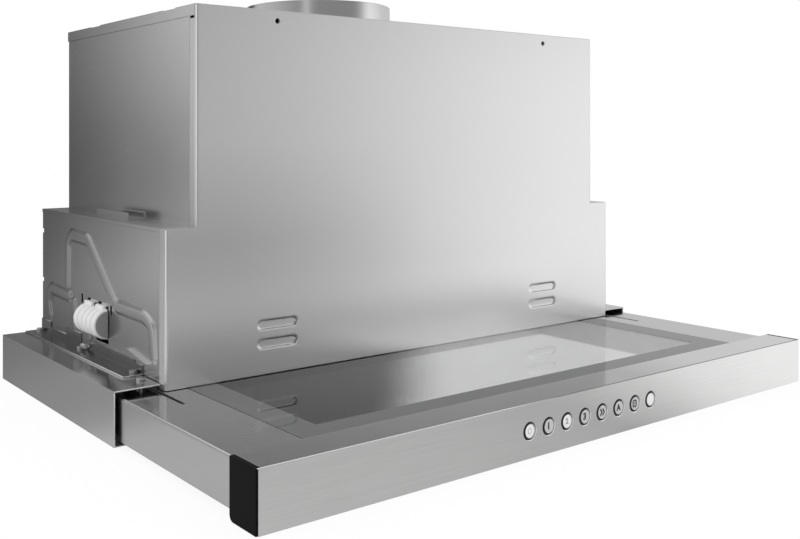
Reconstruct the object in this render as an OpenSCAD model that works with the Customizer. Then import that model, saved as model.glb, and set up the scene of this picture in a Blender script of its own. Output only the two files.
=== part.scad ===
// Pull-out range hood for a 600 mm wall cabinet, with its tray pulled out.
// +X is to the right as seen from the front, -Y is the front and Z is up.
// The origin is the middle of the base, on the plane that the hood stands on.

/* [Overall] */
// Width over the fascia and the rail covers
overall_w = 598; // [590:1:610]
// Depth with the tray pushed in
closed_d = 290; // [284:1:310]
// Length of the tray that stays in the body when it is pulled out
tray_hold = 74; // [72:0.5:80]
// Height of the lid above the base
body_h = 330.5; // [326:0.5:350]
// Thickness of the body's and the tray's sheets
sheet = 1; // [0.8:0.1:1.2]

/* [Body] */
// Room beside the lower body for a drawer slide and its cover
rail_room = 38.25; // [37:0.25:41]
// Width of a side shelf of the body
shelf_w = 25.75; // [22:0.25:30]
// Height of the side shelves
step_z = 158.5; // [150:0.5:175]
// How far the body's front stands ahead of the rail covers
body_lead = 7; // [5:1:10]
// Outer radius of the body's front bends
bend_r = 2.5; // [2:0.5:4]
// Depth of the front sheet's side returns
return_d = 10.5; // [8:0.5:14]
// Height of the lid's side skirts
skirt_h = 9; // [7:0.5:12]
// Inset of the side sheets from the front sheet's returns
seam_step = 0.5; // [0.3:0.1:0.8]
// Inset of the rear sheet from the hood's back
rear_inset = 2; // [2:0.5:4]
// Distance of the front fixing holes from the middle
fix_x = 160; // [140:1:180]
// Radius of the front fixing holes
fix_r = 2.25; // [2:0.25:3]
// Drop of the front fixing holes below the lid
fix_drop = 8.5; // [7:0.5:11]
// Length of a pressed louvre
louvre_l = 39; // [30:1:50]
// Height of a pressed louvre
louvre_w = 8; // [6:0.5:10]
// Depth of a pressed louvre
louvre_depth = 2.5; // [2:0.5:3.5]
// Distance of the louvres from the middle
louvre_x = 159.5; // [140:0.5:180]
// Height of the lower louvres' middle
louvre_z = 61.7; // [58:0.1:68]
// Pitch of the two louvres in a pair
louvre_pitch = 15.2; // [13:0.1:18]
// Width of the stiffening beads
bead_w = 7.5; // [6:0.5:12]
// Height of the stiffening beads
bead_h = 1.7; // [1.3:0.2:3.5]

/* [Duct] */
// Outer radius of the duct spigot
spigot_r = 75; // [72:0.5:76]
// Height of the duct spigot above the lid
spigot_h = 30.5; // [26:0.5:40]
// Wall of the duct spigot
spigot_t = 1.2; // [1:0.1:1.6]
// Distance of the duct's axis from the hood's back
spigot_back = 94.5; // [92:0.5:104]
// Radius of the flap pins
flap_pin_r = 1.5; // [1.2:0.1:1.8]
// Radius of the hole for the mains lead
gland_r = 4; // [3:0.5:5]
// Height of the mains gland above the lid
gland_h = 15; // [12:1:18]

/* [Tray] */
// Height of the fascia
fascia_h = 38.8; // [38:0.2:41]
// Thickness of the fascia's sheet, folded double along its top
fascia_t = 1.1; // [1:0.1:1.2]
// Depth of the fascia's top hem and end caps
fascia_d = 30; // [28:1:34]
// Depth of the fascia's bottom flange
fascia_foot = 26; // [22:1:27]
// Distance of the fascia's sheet from the end caps' outer faces
cap_edge = 1.4; // [1:0.1:2]
// Height of the tray's lower edge
tray_z = 4.5; // [3:0.5:6]
// Side clearance between the tray and a rail cover
tray_side = 2.7; // [2:0.1:3.5]
// Room behind the tray when it is pushed in
rear_room = 28; // [24:1:32]
// Distance from the hood's sides to the glass pane
glass_side = 57.4; // [55:0.2:64]
// Thickness of the glass pane
glass_t = 4; // [3:0.5:5]
// Gap around the glass pane
glass_gap = 0.8; // [0.5:0.1:1]
// Distance from the glass pane's sides to the window under it
window_side = 19.6; // [17:0.2:30]
// Distance from the fascia's face to the window
window_front = 48.5; // [46:0.5:60]
// Width of the window's rim at the tray's back
window_rear = 17.5; // [14:0.5:24]
// Height of the window frame's lower edge
window_z = 9.5; // [7:0.5:12]
// Distance from the fascia's face to the ends of the slits
slit_front = 151; // [148:0.5:155]
// Width of the slits
slit_w = 3.6; // [3.2:0.1:4]

/* [Buttons] */
// Number of buttons
button_n = 8; // [8:1:8]
// Pitch of the buttons
button_pitch = 20.1; // [18:0.1:21]
// Radius of a button's face
button_r = 5.6; // [5:0.1:5.8]
// Radius of the holes in the fascia
button_hole_r = 6.3; // [6.1:0.1:6.6]
// Radius of a button's stem
button_stem_r = 4; // [3.5:0.1:4.5]
// Travel of a button
button_travel = 1.2; // [0.8:0.1:1.4]

/* [Rails] */
// Height of the rail covers
rail_h = 41.2; // [41:0.2:44]
// Depth of a rail cover's bottom flange
rail_foot = 12; // [9:1:14]
// Distance from the body's side to the middle of a slit
hanger_gap = 3.8; // [3.6:0.1:4.6]
// Thickness of the hangers and slide profiles
rail_t = 1.2; // [1:0.1:1.3]
// Height of the outer slide profile
slide_h = 28; // [26:0.5:29]
// Width of the nested slide profiles
slide_w = 12.7; // [12.5:0.1:13.5]
// Start of the tray's slide profile behind the fascia's face
slide_front = 36; // [33:1:40]
// Radius of the slide balls
ball_r = 1.1; // [1:0.05:1.2]
// Number of balls in a row
ball_n = 6; // [4:1:8]
// Width of a rail bracket's base
bracket_w = 17; // [15:0.5:19]
// Height of the rail brackets' upstand
bracket_h = 12.6; // [11:0.2:13]
// Distance from a rail cover's front to its bracket
bracket_front = 32; // [30:1:40]

/* [Filters] */
// Thickness of a filter cassette
filter_t = 9; // [8:0.5:11]
// Clearance around a filter cassette
filter_gap = 1; // [0.8:0.1:1.4]
// Width of the bar between the filters
bar_w = 14; // [12:1:20]
// Width of the rims beside the filters
rim_w = 10; // [8:1:14]
// Width of a filter frame's rails
filter_rim = 12; // [10:1:16]
// Depth of the filter frame's front rail
filter_head = 28; // [27:1:32]
// Travel of a filter latch
latch_travel = 4; // [3.5:0.5:5]

/* [Lamps] */
// Radius of a lamp's face
lamp_r = 23.7; // [20:0.1:24]
// Distance of the lamps from the middle
lamp_x = 75; // [60:1:120]
// Distance of the lamps behind the body's front
lamp_back = 34; // [32:1:38]

/* [Fan] */
// Radius of the impeller
fan_r = 68; // [64:1:70]
// Width of the impeller
fan_w = 112; // [100:1:114]
// Width of the fan housing
scroll_w = 128; // [126:1:140]
// Smallest gap between the impeller and the housing
scroll_gap = 12; // [9:1:14]
// Growth of the housing's spiral in each quarter turn
scroll_step = 8; // [6:0.5:9]
// Height of the fan's axis below the lid
fan_drop = 143; // [138:1:148]
// Number of impeller blades
blade_n = 36; // [24:1:44]
// Radial length of an impeller blade
blade_l = 11; // [9:0.5:13]
// Radius of the motor
motor_r = 36; // [30:1:40]
// Radius of the fan shaft
shaft_r = 4; // [3:0.5:5]

/* [Clamps] */
// Outer radius of a side clamp's ribs
clamp_r = 12.8; // [12:0.2:13.4]
// Length of a side clamp
clamp_l = 46; // [44:1:50]
// Number of a side clamp's ribs
rib_n = 5; // [4:1:6]
// Distance of the side clamps behind the body's front
clamp_back = 105; // [100:1:110]

/* [Hidden] */
$fn = 64;
duct_fn = 128;
tiny = 0.01;
// How much narrower a band is than its round ends, so that no line only touches a circle
band_slack = 0.02;
seat_gap = 0.3;
fit_gap = 0.05;
run_gap = 0.5;
tap_r = 1.6;
shank_r = 1.5;

// Travel of the tray
travel = closed_d - rear_room - fascia_d - run_gap - tray_hold;
ext_d = closed_d + travel;
front_y = -ext_d / 2;
back_y = ext_d / 2;
body_y = front_y + fascia_d + travel + run_gap;
rail_y = body_y + body_lead;
rear_y = back_y - rear_inset;
half_w = overall_w / 2;
low_x = half_w - rail_room;
up_x = low_x - shelf_w;
wall_x = low_x - seam_step;
shell_x = up_x - sheet;
side_y = body_y + return_d + seat_gap;
lid_z = body_h - sheet;
// Depth of the body for which its sides' pressed features are drawn, and their scale
side_d = 259.5;
side_s = (back_y - body_y) / side_d;
lip_h = 3;
flange_w = 12;

tray_top = fascia_h - 2 * fascia_t;
tray_x = half_w - sheet - tray_side;
tray_l = closed_d - rear_room;
tray_back = front_y + tray_l;
body_z = tray_top + run_gap;
plate_top = body_z + sheet;

glass_x = half_w - glass_side;
glass_y0 = front_y + fascia_foot + 1;
glass_y1 = tray_back - 4 - glass_gap;
glass_z = tray_top - glass_t;
gasket_t = 0.6;
gasket_w = 6;
frame_top = glass_z - gasket_t;
frame_x = glass_x + 5;
frame_y0 = glass_y0 - 3;
frame_y1 = tray_back - 0.5;
window_x = glass_x - window_side;
window_y0 = front_y + window_front;
window_y1 = tray_back - window_rear;
window_lip = 8;

hanger_x = low_x + hanger_gap;
stack_x = hanger_x + rail_t / 2;
hanger_y0 = front_y + slit_front + travel + 4;
hanger_y1 = back_y - 4;
slide_z = 20;
slide_l = tray_l - slide_front;
slide_tray_y = front_y + slide_front;
slide_fixed_y = back_y - 4 - slide_l;
slide_mid_y = (slide_tray_y + slide_fixed_y) / 2;
ball_gap = 2 * (ball_r + fit_gap);
mid_h = slide_h - 2 * (rail_t + ball_gap);
inner_h = mid_h - 2 * (rail_t + ball_gap);
ball_x = stack_x + slide_w / 2 + 0.6;
carrier_x = stack_x + slide_w;
carrier_foot = 8;
cover_x = low_x + run_gap;
bracket_y = rail_y + bracket_front;
bracket_l = back_y - bracket_y;
// Length of the rail bracket for which its upstand is drawn, and its scale
upstand_l = 220.5;
upstand_s = bracket_l / upstand_l;
cover_screw = [-wall_x - 7.8, rail_y + 20];

seat_y0 = tray_back + 3;
seat_y1 = back_y - 8;
seat_x0 = bar_w / 2;
seat_x1 = wall_x - sheet - rim_w;
seat_lip = 5;
filter_w = seat_x1 - seat_x0 - 2 * filter_gap;
filter_l = seat_y1 - seat_y0 - 2 * filter_gap;
filter_z = body_z + run_gap;
filter_x = (seat_x0 + seat_x1) / 2;
filter_x0 = filter_x - filter_w / 2;
filter_x1 = filter_x + filter_w / 2;
filter_y0 = seat_y0 + filter_gap;
filter_y1 = filter_y0 + filter_l;
filter_cut = 3;
ledge_z = filter_z + filter_t + seat_gap;
skin = 1.5;
groove = 3;
hinge_r = 1.2;
hinge_y = seat_y1 + 2.5;
hinge_z = plate_top + hinge_r + 0.1;
tab_w = 20;
latch_w = 46;
latch_l = 14;
latch_ear = 3;
pocket_y = filter_y0 + 4;
pocket_l = latch_l + latch_travel + 2 * fit_gap;
nose_w = 20;
nose_z = filter_z + 3;
nose_h = 2.5;

lamp_y = body_y + lamp_back;
lamp_h = 9;
lens_r = lamp_r - 2.5;
lens_t = 1.8;

switch_w = 9;
switch_l = 14;
switch_side = 1.5;
switch_back = 20;
magnet_h = 3;

spigot_y = back_y - spigot_back;
flap_z = body_h + 6.25;
flap_t = 1.5;
flap_sink = 0.25;
flap_off = 2.5;
flap_r = spigot_r - spigot_t - 1;
stop_w = 4;

scroll_t = 2;
scroll_r = fan_r + scroll_gap;
scroll_x = scroll_w / 2;
outlet_front = -scroll_step / 2;
outlet_back = scroll_step / 2 + scroll_r + 2 * scroll_step;
fan_y = spigot_y - (outlet_front + outlet_back) / 2;
fan_z = body_h - fan_drop;
inlet_r = fan_r - 14;
motor_hole_r = fan_r + 3;
motor_l = fan_w / 2;
hub_x = 8;
arm_n = 4;

box_w = 75;
box_l = 120;
box_h = 58;
box_t = 1.5;
box_side = 10;
box_back = 45;
box_x1 = up_x - box_side;
box_x0 = box_x1 - box_w;
box_y1 = back_y - box_back;
box_y0 = box_y1 - box_l;
box_inlet = [20, 14];
box_inlet_r = 5;
board_rim = 3;
cap_r = 17;
cap_l = 62;
cap_front = 20;
gland_neck = gland_r + 4;
gland_side = 65;
gland_back = 24;
gland_x = up_x - gland_side;
gland_y = back_y - gland_back;

button_z = fascia_h / 2;
housing_y = front_y + 5;
housing_t = 7;
board_t = 1.6;
switch_h = 1.5;
stem_end = housing_y + housing_t + 1;
board_y = stem_end + button_travel + switch_h + seat_gap;
housing_end = 4;
housing_h = 23;
housing_x = button_pitch * button_n / 2 + housing_end;
housing_z0 = button_z - housing_h / 2;
housing_z1 = button_z + housing_h / 2;
post_r = 2.5;
post_in = 3;

clamp_y = body_y + clamp_back * side_s;
clamp_x = wall_x + run_gap;
clamp_z = rail_h + bracket_h + clamp_r + 4;
clamp_low = clamp_z - clamp_r;
clamp_screw = [clamp_y + 35.5, clamp_low - 3.2];
hook_z = clamp_z + clamp_r + 1.7;
hook_w = 19;
hook_at = [11, 35];
hook_in = wall_x - sheet - 1.5;

// Lowest height of the stiffening beads' middles, clear of the rail brackets
bead_foot = rail_h + bracket_h + bead_w / 2 + 1.7;
// Paths of the beads on a side sheet: distance behind the body's front, height
bead_main = [
    [194, 92], [194, 132], [186, 139.5], [147, 138], [89, 88.5], [36, 87.5], [23, 82], [20, bead_foot]
];
bead_rear = [[238, bead_foot], [242.5, 73], [237, 85], [190, 83]];
bead_short = [[178.5, 78], [178.5, bead_foot]];
// Holes in a shelf: distance from the upper body's side, distance behind the body's front
shelf_holes = [[19, 52], [3.5, 234], [12, 201]];
// Front and back ends of the shelf's channel, behind the body's front, and its size
channel_ends = [90, 155];
channel_w = 14.5;
channel_h = 6;
// Starts of the pressed spots at the lid's sides, behind the body's front
lid_spots = [34, 181.5];
lid_spot_l = 22.7;
// Distances of the screws from a rail bracket's front
bracket_screws = [9, 116, 216];

// ---------- helpers ----------

// A box between two corners
module block(a, b) translate(a) cube(b - a);

// A rectangle between two corners
module rect(a, b) translate(a) square(b - a);

// A slot with round ends, along the first axis
module obround(l, w) {
    square([l - w, w], center = true);
    for (s = [-1, 1]) translate([s * (l - w) / 2, 0]) circle(d = w);
}

// Extrude an outline of (X, Y) upwards from z
module lay(z, t) translate([0, 0, z]) linear_extrude(t) children();

// Extrude an outline of (X, Z) backwards from y
module stand(y, t) translate([0, y + t, 0]) rotate([90, 0, 0]) linear_extrude(t) children();

// Extrude an outline of (Y, Z) to the right from x
module flank(x, t) translate([x, 0, 0]) rotate([90, 0, 90]) linear_extrude(t) children();

// Left as drawn, right as its mirror image
module on_side(s) {
    if (s > 0) mirror([1, 0, 0]) children();
    else children();
}

// Cylinders along X, Y and Z
module rod_x(x, y, z, r, l) translate([x, y, z]) rotate([0, 90, 0]) cylinder(r = r, h = l);
module rod_y(x, y, z, r, l) translate([x, y, z]) rotate([-90, 0, 0]) cylinder(r = r, h = l);
module rod_z(x, y, z, r, l) translate([x, y, z]) cylinder(r = r, h = l);

// Outline of half width x with round corners at its front edge
module round_low(x, y0, y1, r) {
    rect([-x, y0 + r], [x, y1]);
    rect([r - x, y0], [x - r, y0 + r + tiny]);
    for (s = [-1, 1]) translate([s * (x - r), y0 + r]) circle(r);
}

// Outline of half width x with round corners at its upper edge
module round_high(x, z0, z1, r) {
    rect([-x, z0], [x, z1 - r]);
    rect([r - x, z1 - r - tiny], [x - r, z1]);
    for (s = [-1, 1]) translate([s * (x - r), z1 - r]) circle(r);
}

// A band of width w along a list of points, with round ends and corners
module track(pts, w) {
    half = w / 2 - band_slack;
    for (p = pts) translate(p) circle(d = w);
    for (i = [1 : len(pts) - 1]) {
        a = pts[i - 1];
        b = pts[i];
        translate(a) rotate(atan2(b[1] - a[1], b[0] - a[0])) rect([0, -half], [norm(b - a), half]);
    }
}

// A cross-slotted screw head standing on its seat, with its shank below
module screw(head_r, head_h, shank_l) {
    difference() {
        cylinder(r = head_r, h = head_h);
        translate([0, 0, head_h - 0.8]) {
            translate([0, 0, 1]) cube([head_r * 1.2, 0.7, 2], center = true);
            translate([0, 0, 1]) cube([0.7, head_r * 1.2, 2], center = true);
        }
    }
    translate([0, 0, -shank_l]) cylinder(r = shank_r, h = shank_l + tiny);
}

// ---------- body shell ----------

// One height of the front sheet with its bent side returns
module front_wrap(x, z0, z1) {
    lay(z0, z1 - z0) difference() {
        round_low(x, body_y, body_y + return_d, bend_r);
        round_low(x - sheet, body_y + sheet, body_y + return_d + 1, bend_r - sheet);
    }
}

module louvre_spots() {
    for (s = [-1, 1]) for (i = [0, 1])
        translate([s * louvre_x, louvre_z + i * louvre_pitch]) children();
}

module fixing_holes(y0, l) {
    for (s = [-1, 1]) rod_y(s * fix_x, y0, body_h - fix_drop, fix_r, l);
}

// Cover of the step behind the front sheet, with relief holes at its bends
module step_cap() {
    lay(step_z - sheet, sheet) difference() {
        round_low(low_x, body_y, body_y + return_d, bend_r);
        rect([-shell_x, body_y + sheet], [shell_x, side_y]);
        for (s = [-1, 1]) {
            translate([s * (up_x + 1.5), body_y + bend_r + 1.5]) circle(tap_r);
            translate([s * (low_x - 2.5), body_y + bend_r + 1]) circle(shank_r);
        }
    }
}

module front_panel() {
    notch_z = body_h - skirt_h - 2;
    color("silver") difference() {
        union() {
            front_wrap(low_x, body_z, step_z);
            front_wrap(up_x, step_z - tiny, body_h);
            step_cap();
            stand(body_y, louvre_depth + sheet) louvre_spots()
                obround(louvre_l + 2 * sheet, louvre_w + 2 * sheet);
        }
        stand(body_y - 1, louvre_depth + 1) louvre_spots() obround(louvre_l, louvre_w);
        fixing_holes(body_y - 1, sheet + 2);
        for (s = [-1, 1]) on_side(s)
            block([-up_x - 1, body_y + bend_r, notch_z], [-shell_x, side_y + 1, body_h + 1]);
    }
}

// Slots of a side sheet for the clamp's hooks, its spring and its screw
module clamp_slots() {
    for (h = hook_at)
        rect([clamp_y + h - hook_w / 2 - 1, hook_z - 4], [clamp_y + h + hook_w / 2 + 1, hook_z + 2.5]);
    rect([clamp_y - 7, hook_z - 5.5], [clamp_y - 3, hook_z + 2]);
    rect([clamp_y + clamp_l + 9, hook_z - 4], [clamp_y + clamp_l + 13, hook_z + 4]);
    rect([clamp_y, clamp_low - 4], [clamp_y + 26, clamp_low - 0.4]);
    rect([clamp_y + 25, clamp_low - 1], [clamp_y + clamp_l + 6, clamp_low - 0.4]);
    translate(clamp_screw) circle(tap_r);
}

module side_beads(w) {
    for (path = [bead_main, bead_rear, bead_short])
        translate([body_y, 0]) track([for (p = path) [p[0] * side_s, p[1]]], w);
}

// Upturned channel on the shelf
module shelf_channel() {
    y0 = body_y + channel_ends[0] * side_s;
    y1 = body_y + channel_ends[1] * side_s;
    x0 = up_x + channel_w;
    top = step_z + channel_h;
    block([-x0, y0, step_z - tiny], [sheet - x0, y1, top]);
    block([-x0, y0, step_z - tiny], [-shell_x, y1, step_z + sheet]);
    block([-up_x, y0, step_z - tiny], [tiny - shell_x, y1, top]);
}

// Pressed wedge above the rail bracket
module side_scoop() {
    foot = rail_h + bracket_h - 1.5;
    depth = 3;
    flank(-wall_x - depth, depth + tiny)
        polygon([[body_y + 25, foot], [body_y + 82, foot], [body_y + 63, foot + 6.3]]);
}

// Places of the rear sheet's screws
module rear_screw_spots() {
    for (s = [-1, 1]) {
        for (z = [60, 130]) translate([s * (wall_x - sheet - flange_w / 2), z]) children();
        for (z = [step_z + 30, body_h - 40])
            translate([s * (shell_x - sheet - flange_w / 2), z]) children();
    }
}

module side_panel(s) {
    flange_y = rear_y - 2 * sheet;
    foot_x = flange_w - wall_x;
    head_x = flange_w - shell_x;
    color("darkgray") on_side(s) difference() {
        union() {
            block([-wall_x, side_y, body_z], [sheet - wall_x, back_y, step_z]);
            block([-wall_x, side_y, step_z - sheet], [sheet - shell_x, back_y, step_z]);
            block([-low_x, side_y, step_z - lip_h], [tiny - wall_x, back_y, step_z]);
            block([-shell_x, side_y, step_z - sheet], [sheet - shell_x, back_y, lid_z]);
            block([tiny - wall_x, flange_y, plate_top], [foot_x, flange_y + sheet, step_z - 2 * sheet]);
            block([tiny - shell_x, flange_y, step_z - tiny], [head_x, flange_y + sheet, lid_z]);
            flank(-wall_x - bead_h, bead_h + tiny) side_beads(bead_w);
            shelf_channel();
            side_scoop();
        }
        flank(sheet - wall_x - bead_h, bead_h + tiny) side_beads(bead_w - 2 * sheet);
        flank(-wall_x - 1, sheet + 2) clamp_slots();
        stand(flange_y - 1, 3 * sheet) rear_screw_spots() circle(tap_r);
        for (p = shelf_holes)
            rod_z(-up_x - p[0], body_y + p[1] * side_s, step_z - 2 * sheet, 2, 3 * sheet);
        for (z = [90.5, 137.5])
            block([-low_x - 1, back_y - 3, z - 2], [2 * sheet - wall_x, back_y + 1, z + 2]);
    }
}

// Pressed ribs of the rear sheet
module rear_ribs(w) {
    rib_l = 150;
    for (s = [-1, 1]) for (z = [step_z - 40, step_z + 60]) translate([s * 110, z]) obround(rib_l + w, w);
}

module rear_panel() {
    color("darkgray") difference() {
        union() {
            stand(rear_y - sheet, sheet) {
                rect([sheet - wall_x, body_z], [wall_x - sheet, step_z - sheet]);
                rect([sheet - shell_x, step_z - 2 * sheet], [shell_x - sheet, lid_z]);
            }
            stand(rear_y - louvre_depth - sheet, louvre_depth + sheet) rear_ribs(bead_w + 2 * sheet);
        }
        stand(rear_y - louvre_depth, louvre_depth + 1) rear_ribs(bead_w);
        stand(rear_y - 2 * sheet, 3 * sheet) rear_screw_spots() circle(tap_r);
    }
}

module top_lid() {
    seam_y = body_y + sheet + seat_gap;
    skirt_y = body_y + bend_r + seat_gap;
    fold_x = up_x - 6;
    color("silver") difference() {
        union() {
            lay(lid_z, sheet) {
                rect([-up_x, skirt_y], [up_x, back_y]);
                rect([bend_r - up_x, seam_y], [up_x - bend_r, skirt_y + 1]);
            }
            for (s = [-1, 1]) on_side(s)
                block([-up_x, skirt_y, body_h - skirt_h], [-shell_x, back_y, body_h]);
            block([-fold_x, seam_y, body_h - 2 * fix_drop], [fold_x, seam_y + sheet, body_h]);
        }
        translate([0, spigot_y, lid_z - 1])
            cylinder(r = spigot_r - spigot_t, h = sheet + 2, $fn = duct_fn);
        fixing_holes(body_y, 4 * sheet);
        rod_z(gland_x, gland_y, lid_z - 1, gland_neck + fit_gap, sheet + 2);
        for (s = [-1, 1]) on_side(s) for (u = lid_spots)
            block([-up_x - 1, body_y + u * side_s, body_h - 0.6 * sheet],
                [6 - up_x, body_y + u * side_s + lid_spot_l, body_h + 1]);
    }
}

// Outlines of the two filter seats, larger by grow
module seat_cuts(grow) {
    for (s = [-1, 1]) on_side(s)
        rect([-seat_x1 - grow, seat_y0 - grow], [grow - seat_x0, seat_y1 + grow]);
}

// Slots of the filter seats: one for the latch's nose and two for the tabs
module seat_slots() {
    nose_x = nose_w / 2 + seat_gap;
    tab_x = tab_w / 2 + 1;
    block([filter_x - nose_x, seat_y0 - 2 * sheet, nose_z - seat_gap],
        [filter_x + nose_x, seat_y0 + 1, nose_z + nose_h + seat_gap]);
    for (t = [-1, 1]) {
        m = filter_x + t * filter_w / 3;
        block([m - tab_x, seat_y1 - 1, body_z - 1], [m + tab_x, hinge_y - 0.3, hinge_z + 3.5]);
    }
}

module bottom_plate() {
    color("darkgray") difference() {
        union() {
            lay(body_z, sheet) round_low(wall_x - sheet, body_y + sheet, rear_y - sheet, bend_r);
            lay(body_z, ledge_z + sheet - body_z) seat_cuts(sheet);
        }
        lay(body_z - 1, ledge_z - body_z + 1) seat_cuts(0);
        lay(ledge_z - 1, sheet + 2) seat_cuts(-seat_lip);
        for (s = [-1, 1]) {
            rod_z(s * lamp_x, lamp_y, body_z - 1, lamp_r + seat_gap, sheet + 2);
            on_side(s) mirror([1, 0, 0]) seat_slots();
        }
    }
}

// ---------- duct ----------

module duct_spigot() {
    inner_r = spigot_r - spigot_t;
    stop_z = flap_z - body_h - flap_sink - flap_t - seat_gap;
    foot_r = spigot_r + 9;
    color("lightgray") translate([0, spigot_y, body_h]) difference() {
        union() {
            cylinder(r = spigot_r, h = spigot_h, $fn = duct_fn);
            cylinder(r = foot_r, h = spigot_t, $fn = duct_fn);
        }
        translate([0, 0, stop_z]) cylinder(r = inner_r, h = spigot_h, $fn = duct_fn);
        translate([0, 0, -1]) cylinder(r = inner_r, h = stop_z, $fn = duct_fn);
        translate([0, 0, -1]) cylinder(r = inner_r - stop_w, h = spigot_h, $fn = duct_fn);
        for (s = [-1, 1])
            rod_x(-foot_r, s * flap_off, flap_z - body_h, flap_pin_r + fit_gap, 2 * foot_r);
    }
}

module flap(s) {
    top = flap_z - flap_sink;
    pin_l = 2 * (spigot_r - 0.3);
    color("dimgray") union() {
        lay(top - flap_t, flap_t) intersection() {
            translate([0, spigot_y]) circle(flap_r, $fn = duct_fn);
            if (s < 0) rect([-flap_r, spigot_y - flap_r], [flap_r, spigot_y - flap_off]);
            else rect([-flap_r, spigot_y + flap_off], [flap_r, spigot_y + flap_r]);
        }
        rod_x(-pin_l / 2, spigot_y + s * flap_off, flap_z, flap_pin_r, pin_l);
    }
}

module mains_gland() {
    nut_h = 5;
    nut_r = gland_neck + 4;
    below = sheet + nut_h + 2;
    color("dimgray") translate([gland_x, gland_y, body_h]) difference() {
        union() {
            cylinder(r = nut_r, h = 4);
            translate([0, 0, -below]) cylinder(r = gland_neck, h = gland_h + below);
            translate([0, 0, -sheet - nut_h]) cylinder(r = nut_r, h = nut_h, $fn = 6);
        }
        translate([0, 0, -below - 1]) cylinder(r = gland_r, h = gland_h + below + 2);
    }
}

// ---------- fan ----------

// A spiral of three quarter circles, open to an outlet at the top
module scroll_outline(inset) {
    a = scroll_step / 2;
    big = 2 * scroll_r;
    top = lid_z - fan_z + (inset > 0 ? 1 : 0);
    // Each quarter: side of its centre, steps grown, and the quadrant that it fills
    for (q = [[-1, -1, 0, -1, 0], [1, -1, 1, -1, -1], [1, 1, 2, 0, -1]])
        translate([q[0] * a, q[1] * a]) intersection() {
            circle(scroll_r + q[2] * scroll_step - inset, $fn = duct_fn);
            rect([q[3] * big, q[4] * big], [q[3] * big + big, q[4] * big + big]);
        }
    rect([-a, -a], [a + 1, scroll_r - a - inset]);
    rect([outlet_front + inset, a], [outlet_back - inset, top]);
}

module fan_housing() {
    color("gainsboro") difference() {
        translate([0, fan_y, fan_z]) flank(-scroll_x, scroll_w) scroll_outline(0);
        translate([0, fan_y, fan_z]) flank(scroll_t - scroll_x, scroll_w - 2 * scroll_t)
            scroll_outline(scroll_t);
        rod_x(0, fan_y, fan_z, inlet_r, scroll_w);
        rod_x(-scroll_w, fan_y, fan_z, motor_hole_r, scroll_w);
    }
}

module fan_impeller() {
    ring_r = fan_r - blade_l;
    ring_w = 3;
    color("dimgray") translate([-fan_w / 2, fan_y, fan_z]) rotate([90, 0, 90]) {
        linear_extrude(fan_w) for (i = [0 : blade_n - 1])
            rotate(i * 360 / blade_n) translate([ring_r + blade_l / 2, 0]) rotate(25)
                square([blade_l, 1.2], center = true);
        for (z = [0, fan_w - ring_w]) translate([0, 0, z]) difference() {
            cylinder(r = fan_r, h = ring_w);
            translate([0, 0, -1]) cylinder(r = ring_r + 1, h = ring_w + 2);
        }
        translate([0, 0, fan_w / 2 + hub_x]) cylinder(r = fan_r - 1, h = 2);
        translate([0, 0, fan_w / 2 + hub_x - 4]) cylinder(r = 3 * shaft_r, h = 20);
        translate([0, 0, fan_w / 2 - motor_l + 6]) cylinder(r = shaft_r, h = motor_l + hub_x + 14);
    }
}

module fan_motor() {
    x0 = -scroll_x;
    bore_l = 45;
    fin_n = 12;
    color("gray") difference() {
        union() {
            rod_x(x0, fan_y, fan_z, motor_r, motor_l);
            rod_x(x0 + motor_l - 1, fan_y, fan_z, motor_r / 2, 6);
        }
        rod_x(x0 + motor_l - bore_l, fan_y, fan_z, shaft_r + fit_gap, bore_l + 10);
        for (i = [0 : fin_n - 1]) translate([x0 + 8, fan_y, fan_z]) rotate([i * 360 / fin_n, 0, 0])
            translate([0, -1.5, motor_r - 3]) cube([motor_l - 16, 3, 5]);
    }
}

module motor_bracket() {
    ring_r = motor_hole_r + 8;
    arm_w = 14;
    color("darkgray") flank(-scroll_x - 2, 2) translate([fan_y, fan_z]) {
        difference() {
            circle(ring_r);
            circle(inlet_r);
        }
        difference() {
            circle(motor_r);
            circle(shaft_r + 2);
        }
        for (i = [0 : arm_n - 1]) rotate(45 + i * 360 / arm_n)
            rect([motor_r - 2, -arm_w / 2], [inlet_r + 2, arm_w / 2]);
    }
}

module motor_capacitor() {
    y0 = box_y0 + cap_front;
    color("lightgray") {
        rod_y(box_x0 - cap_r, y0, lid_z - cap_r, cap_r, cap_l);
        rod_y(box_x0 - cap_r, y0 + cap_l - tiny, lid_z - cap_r, cap_r - 5, 4);
    }
}

module control_box() {
    z0 = lid_z - box_h;
    wall = [box_t, box_t, box_t];
    color("gainsboro") difference() {
        block([box_x0, box_y0, z0], [box_x1, box_y1, lid_z]);
        block([box_x0, box_y0, z0] + wall, [box_x1, box_y1, lid_z] - wall);
        rod_x(box_x0 - 1, box_y1 - box_inlet[0], z0 + box_inlet[1], box_inlet_r, box_t + 2);
    }
}

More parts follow.
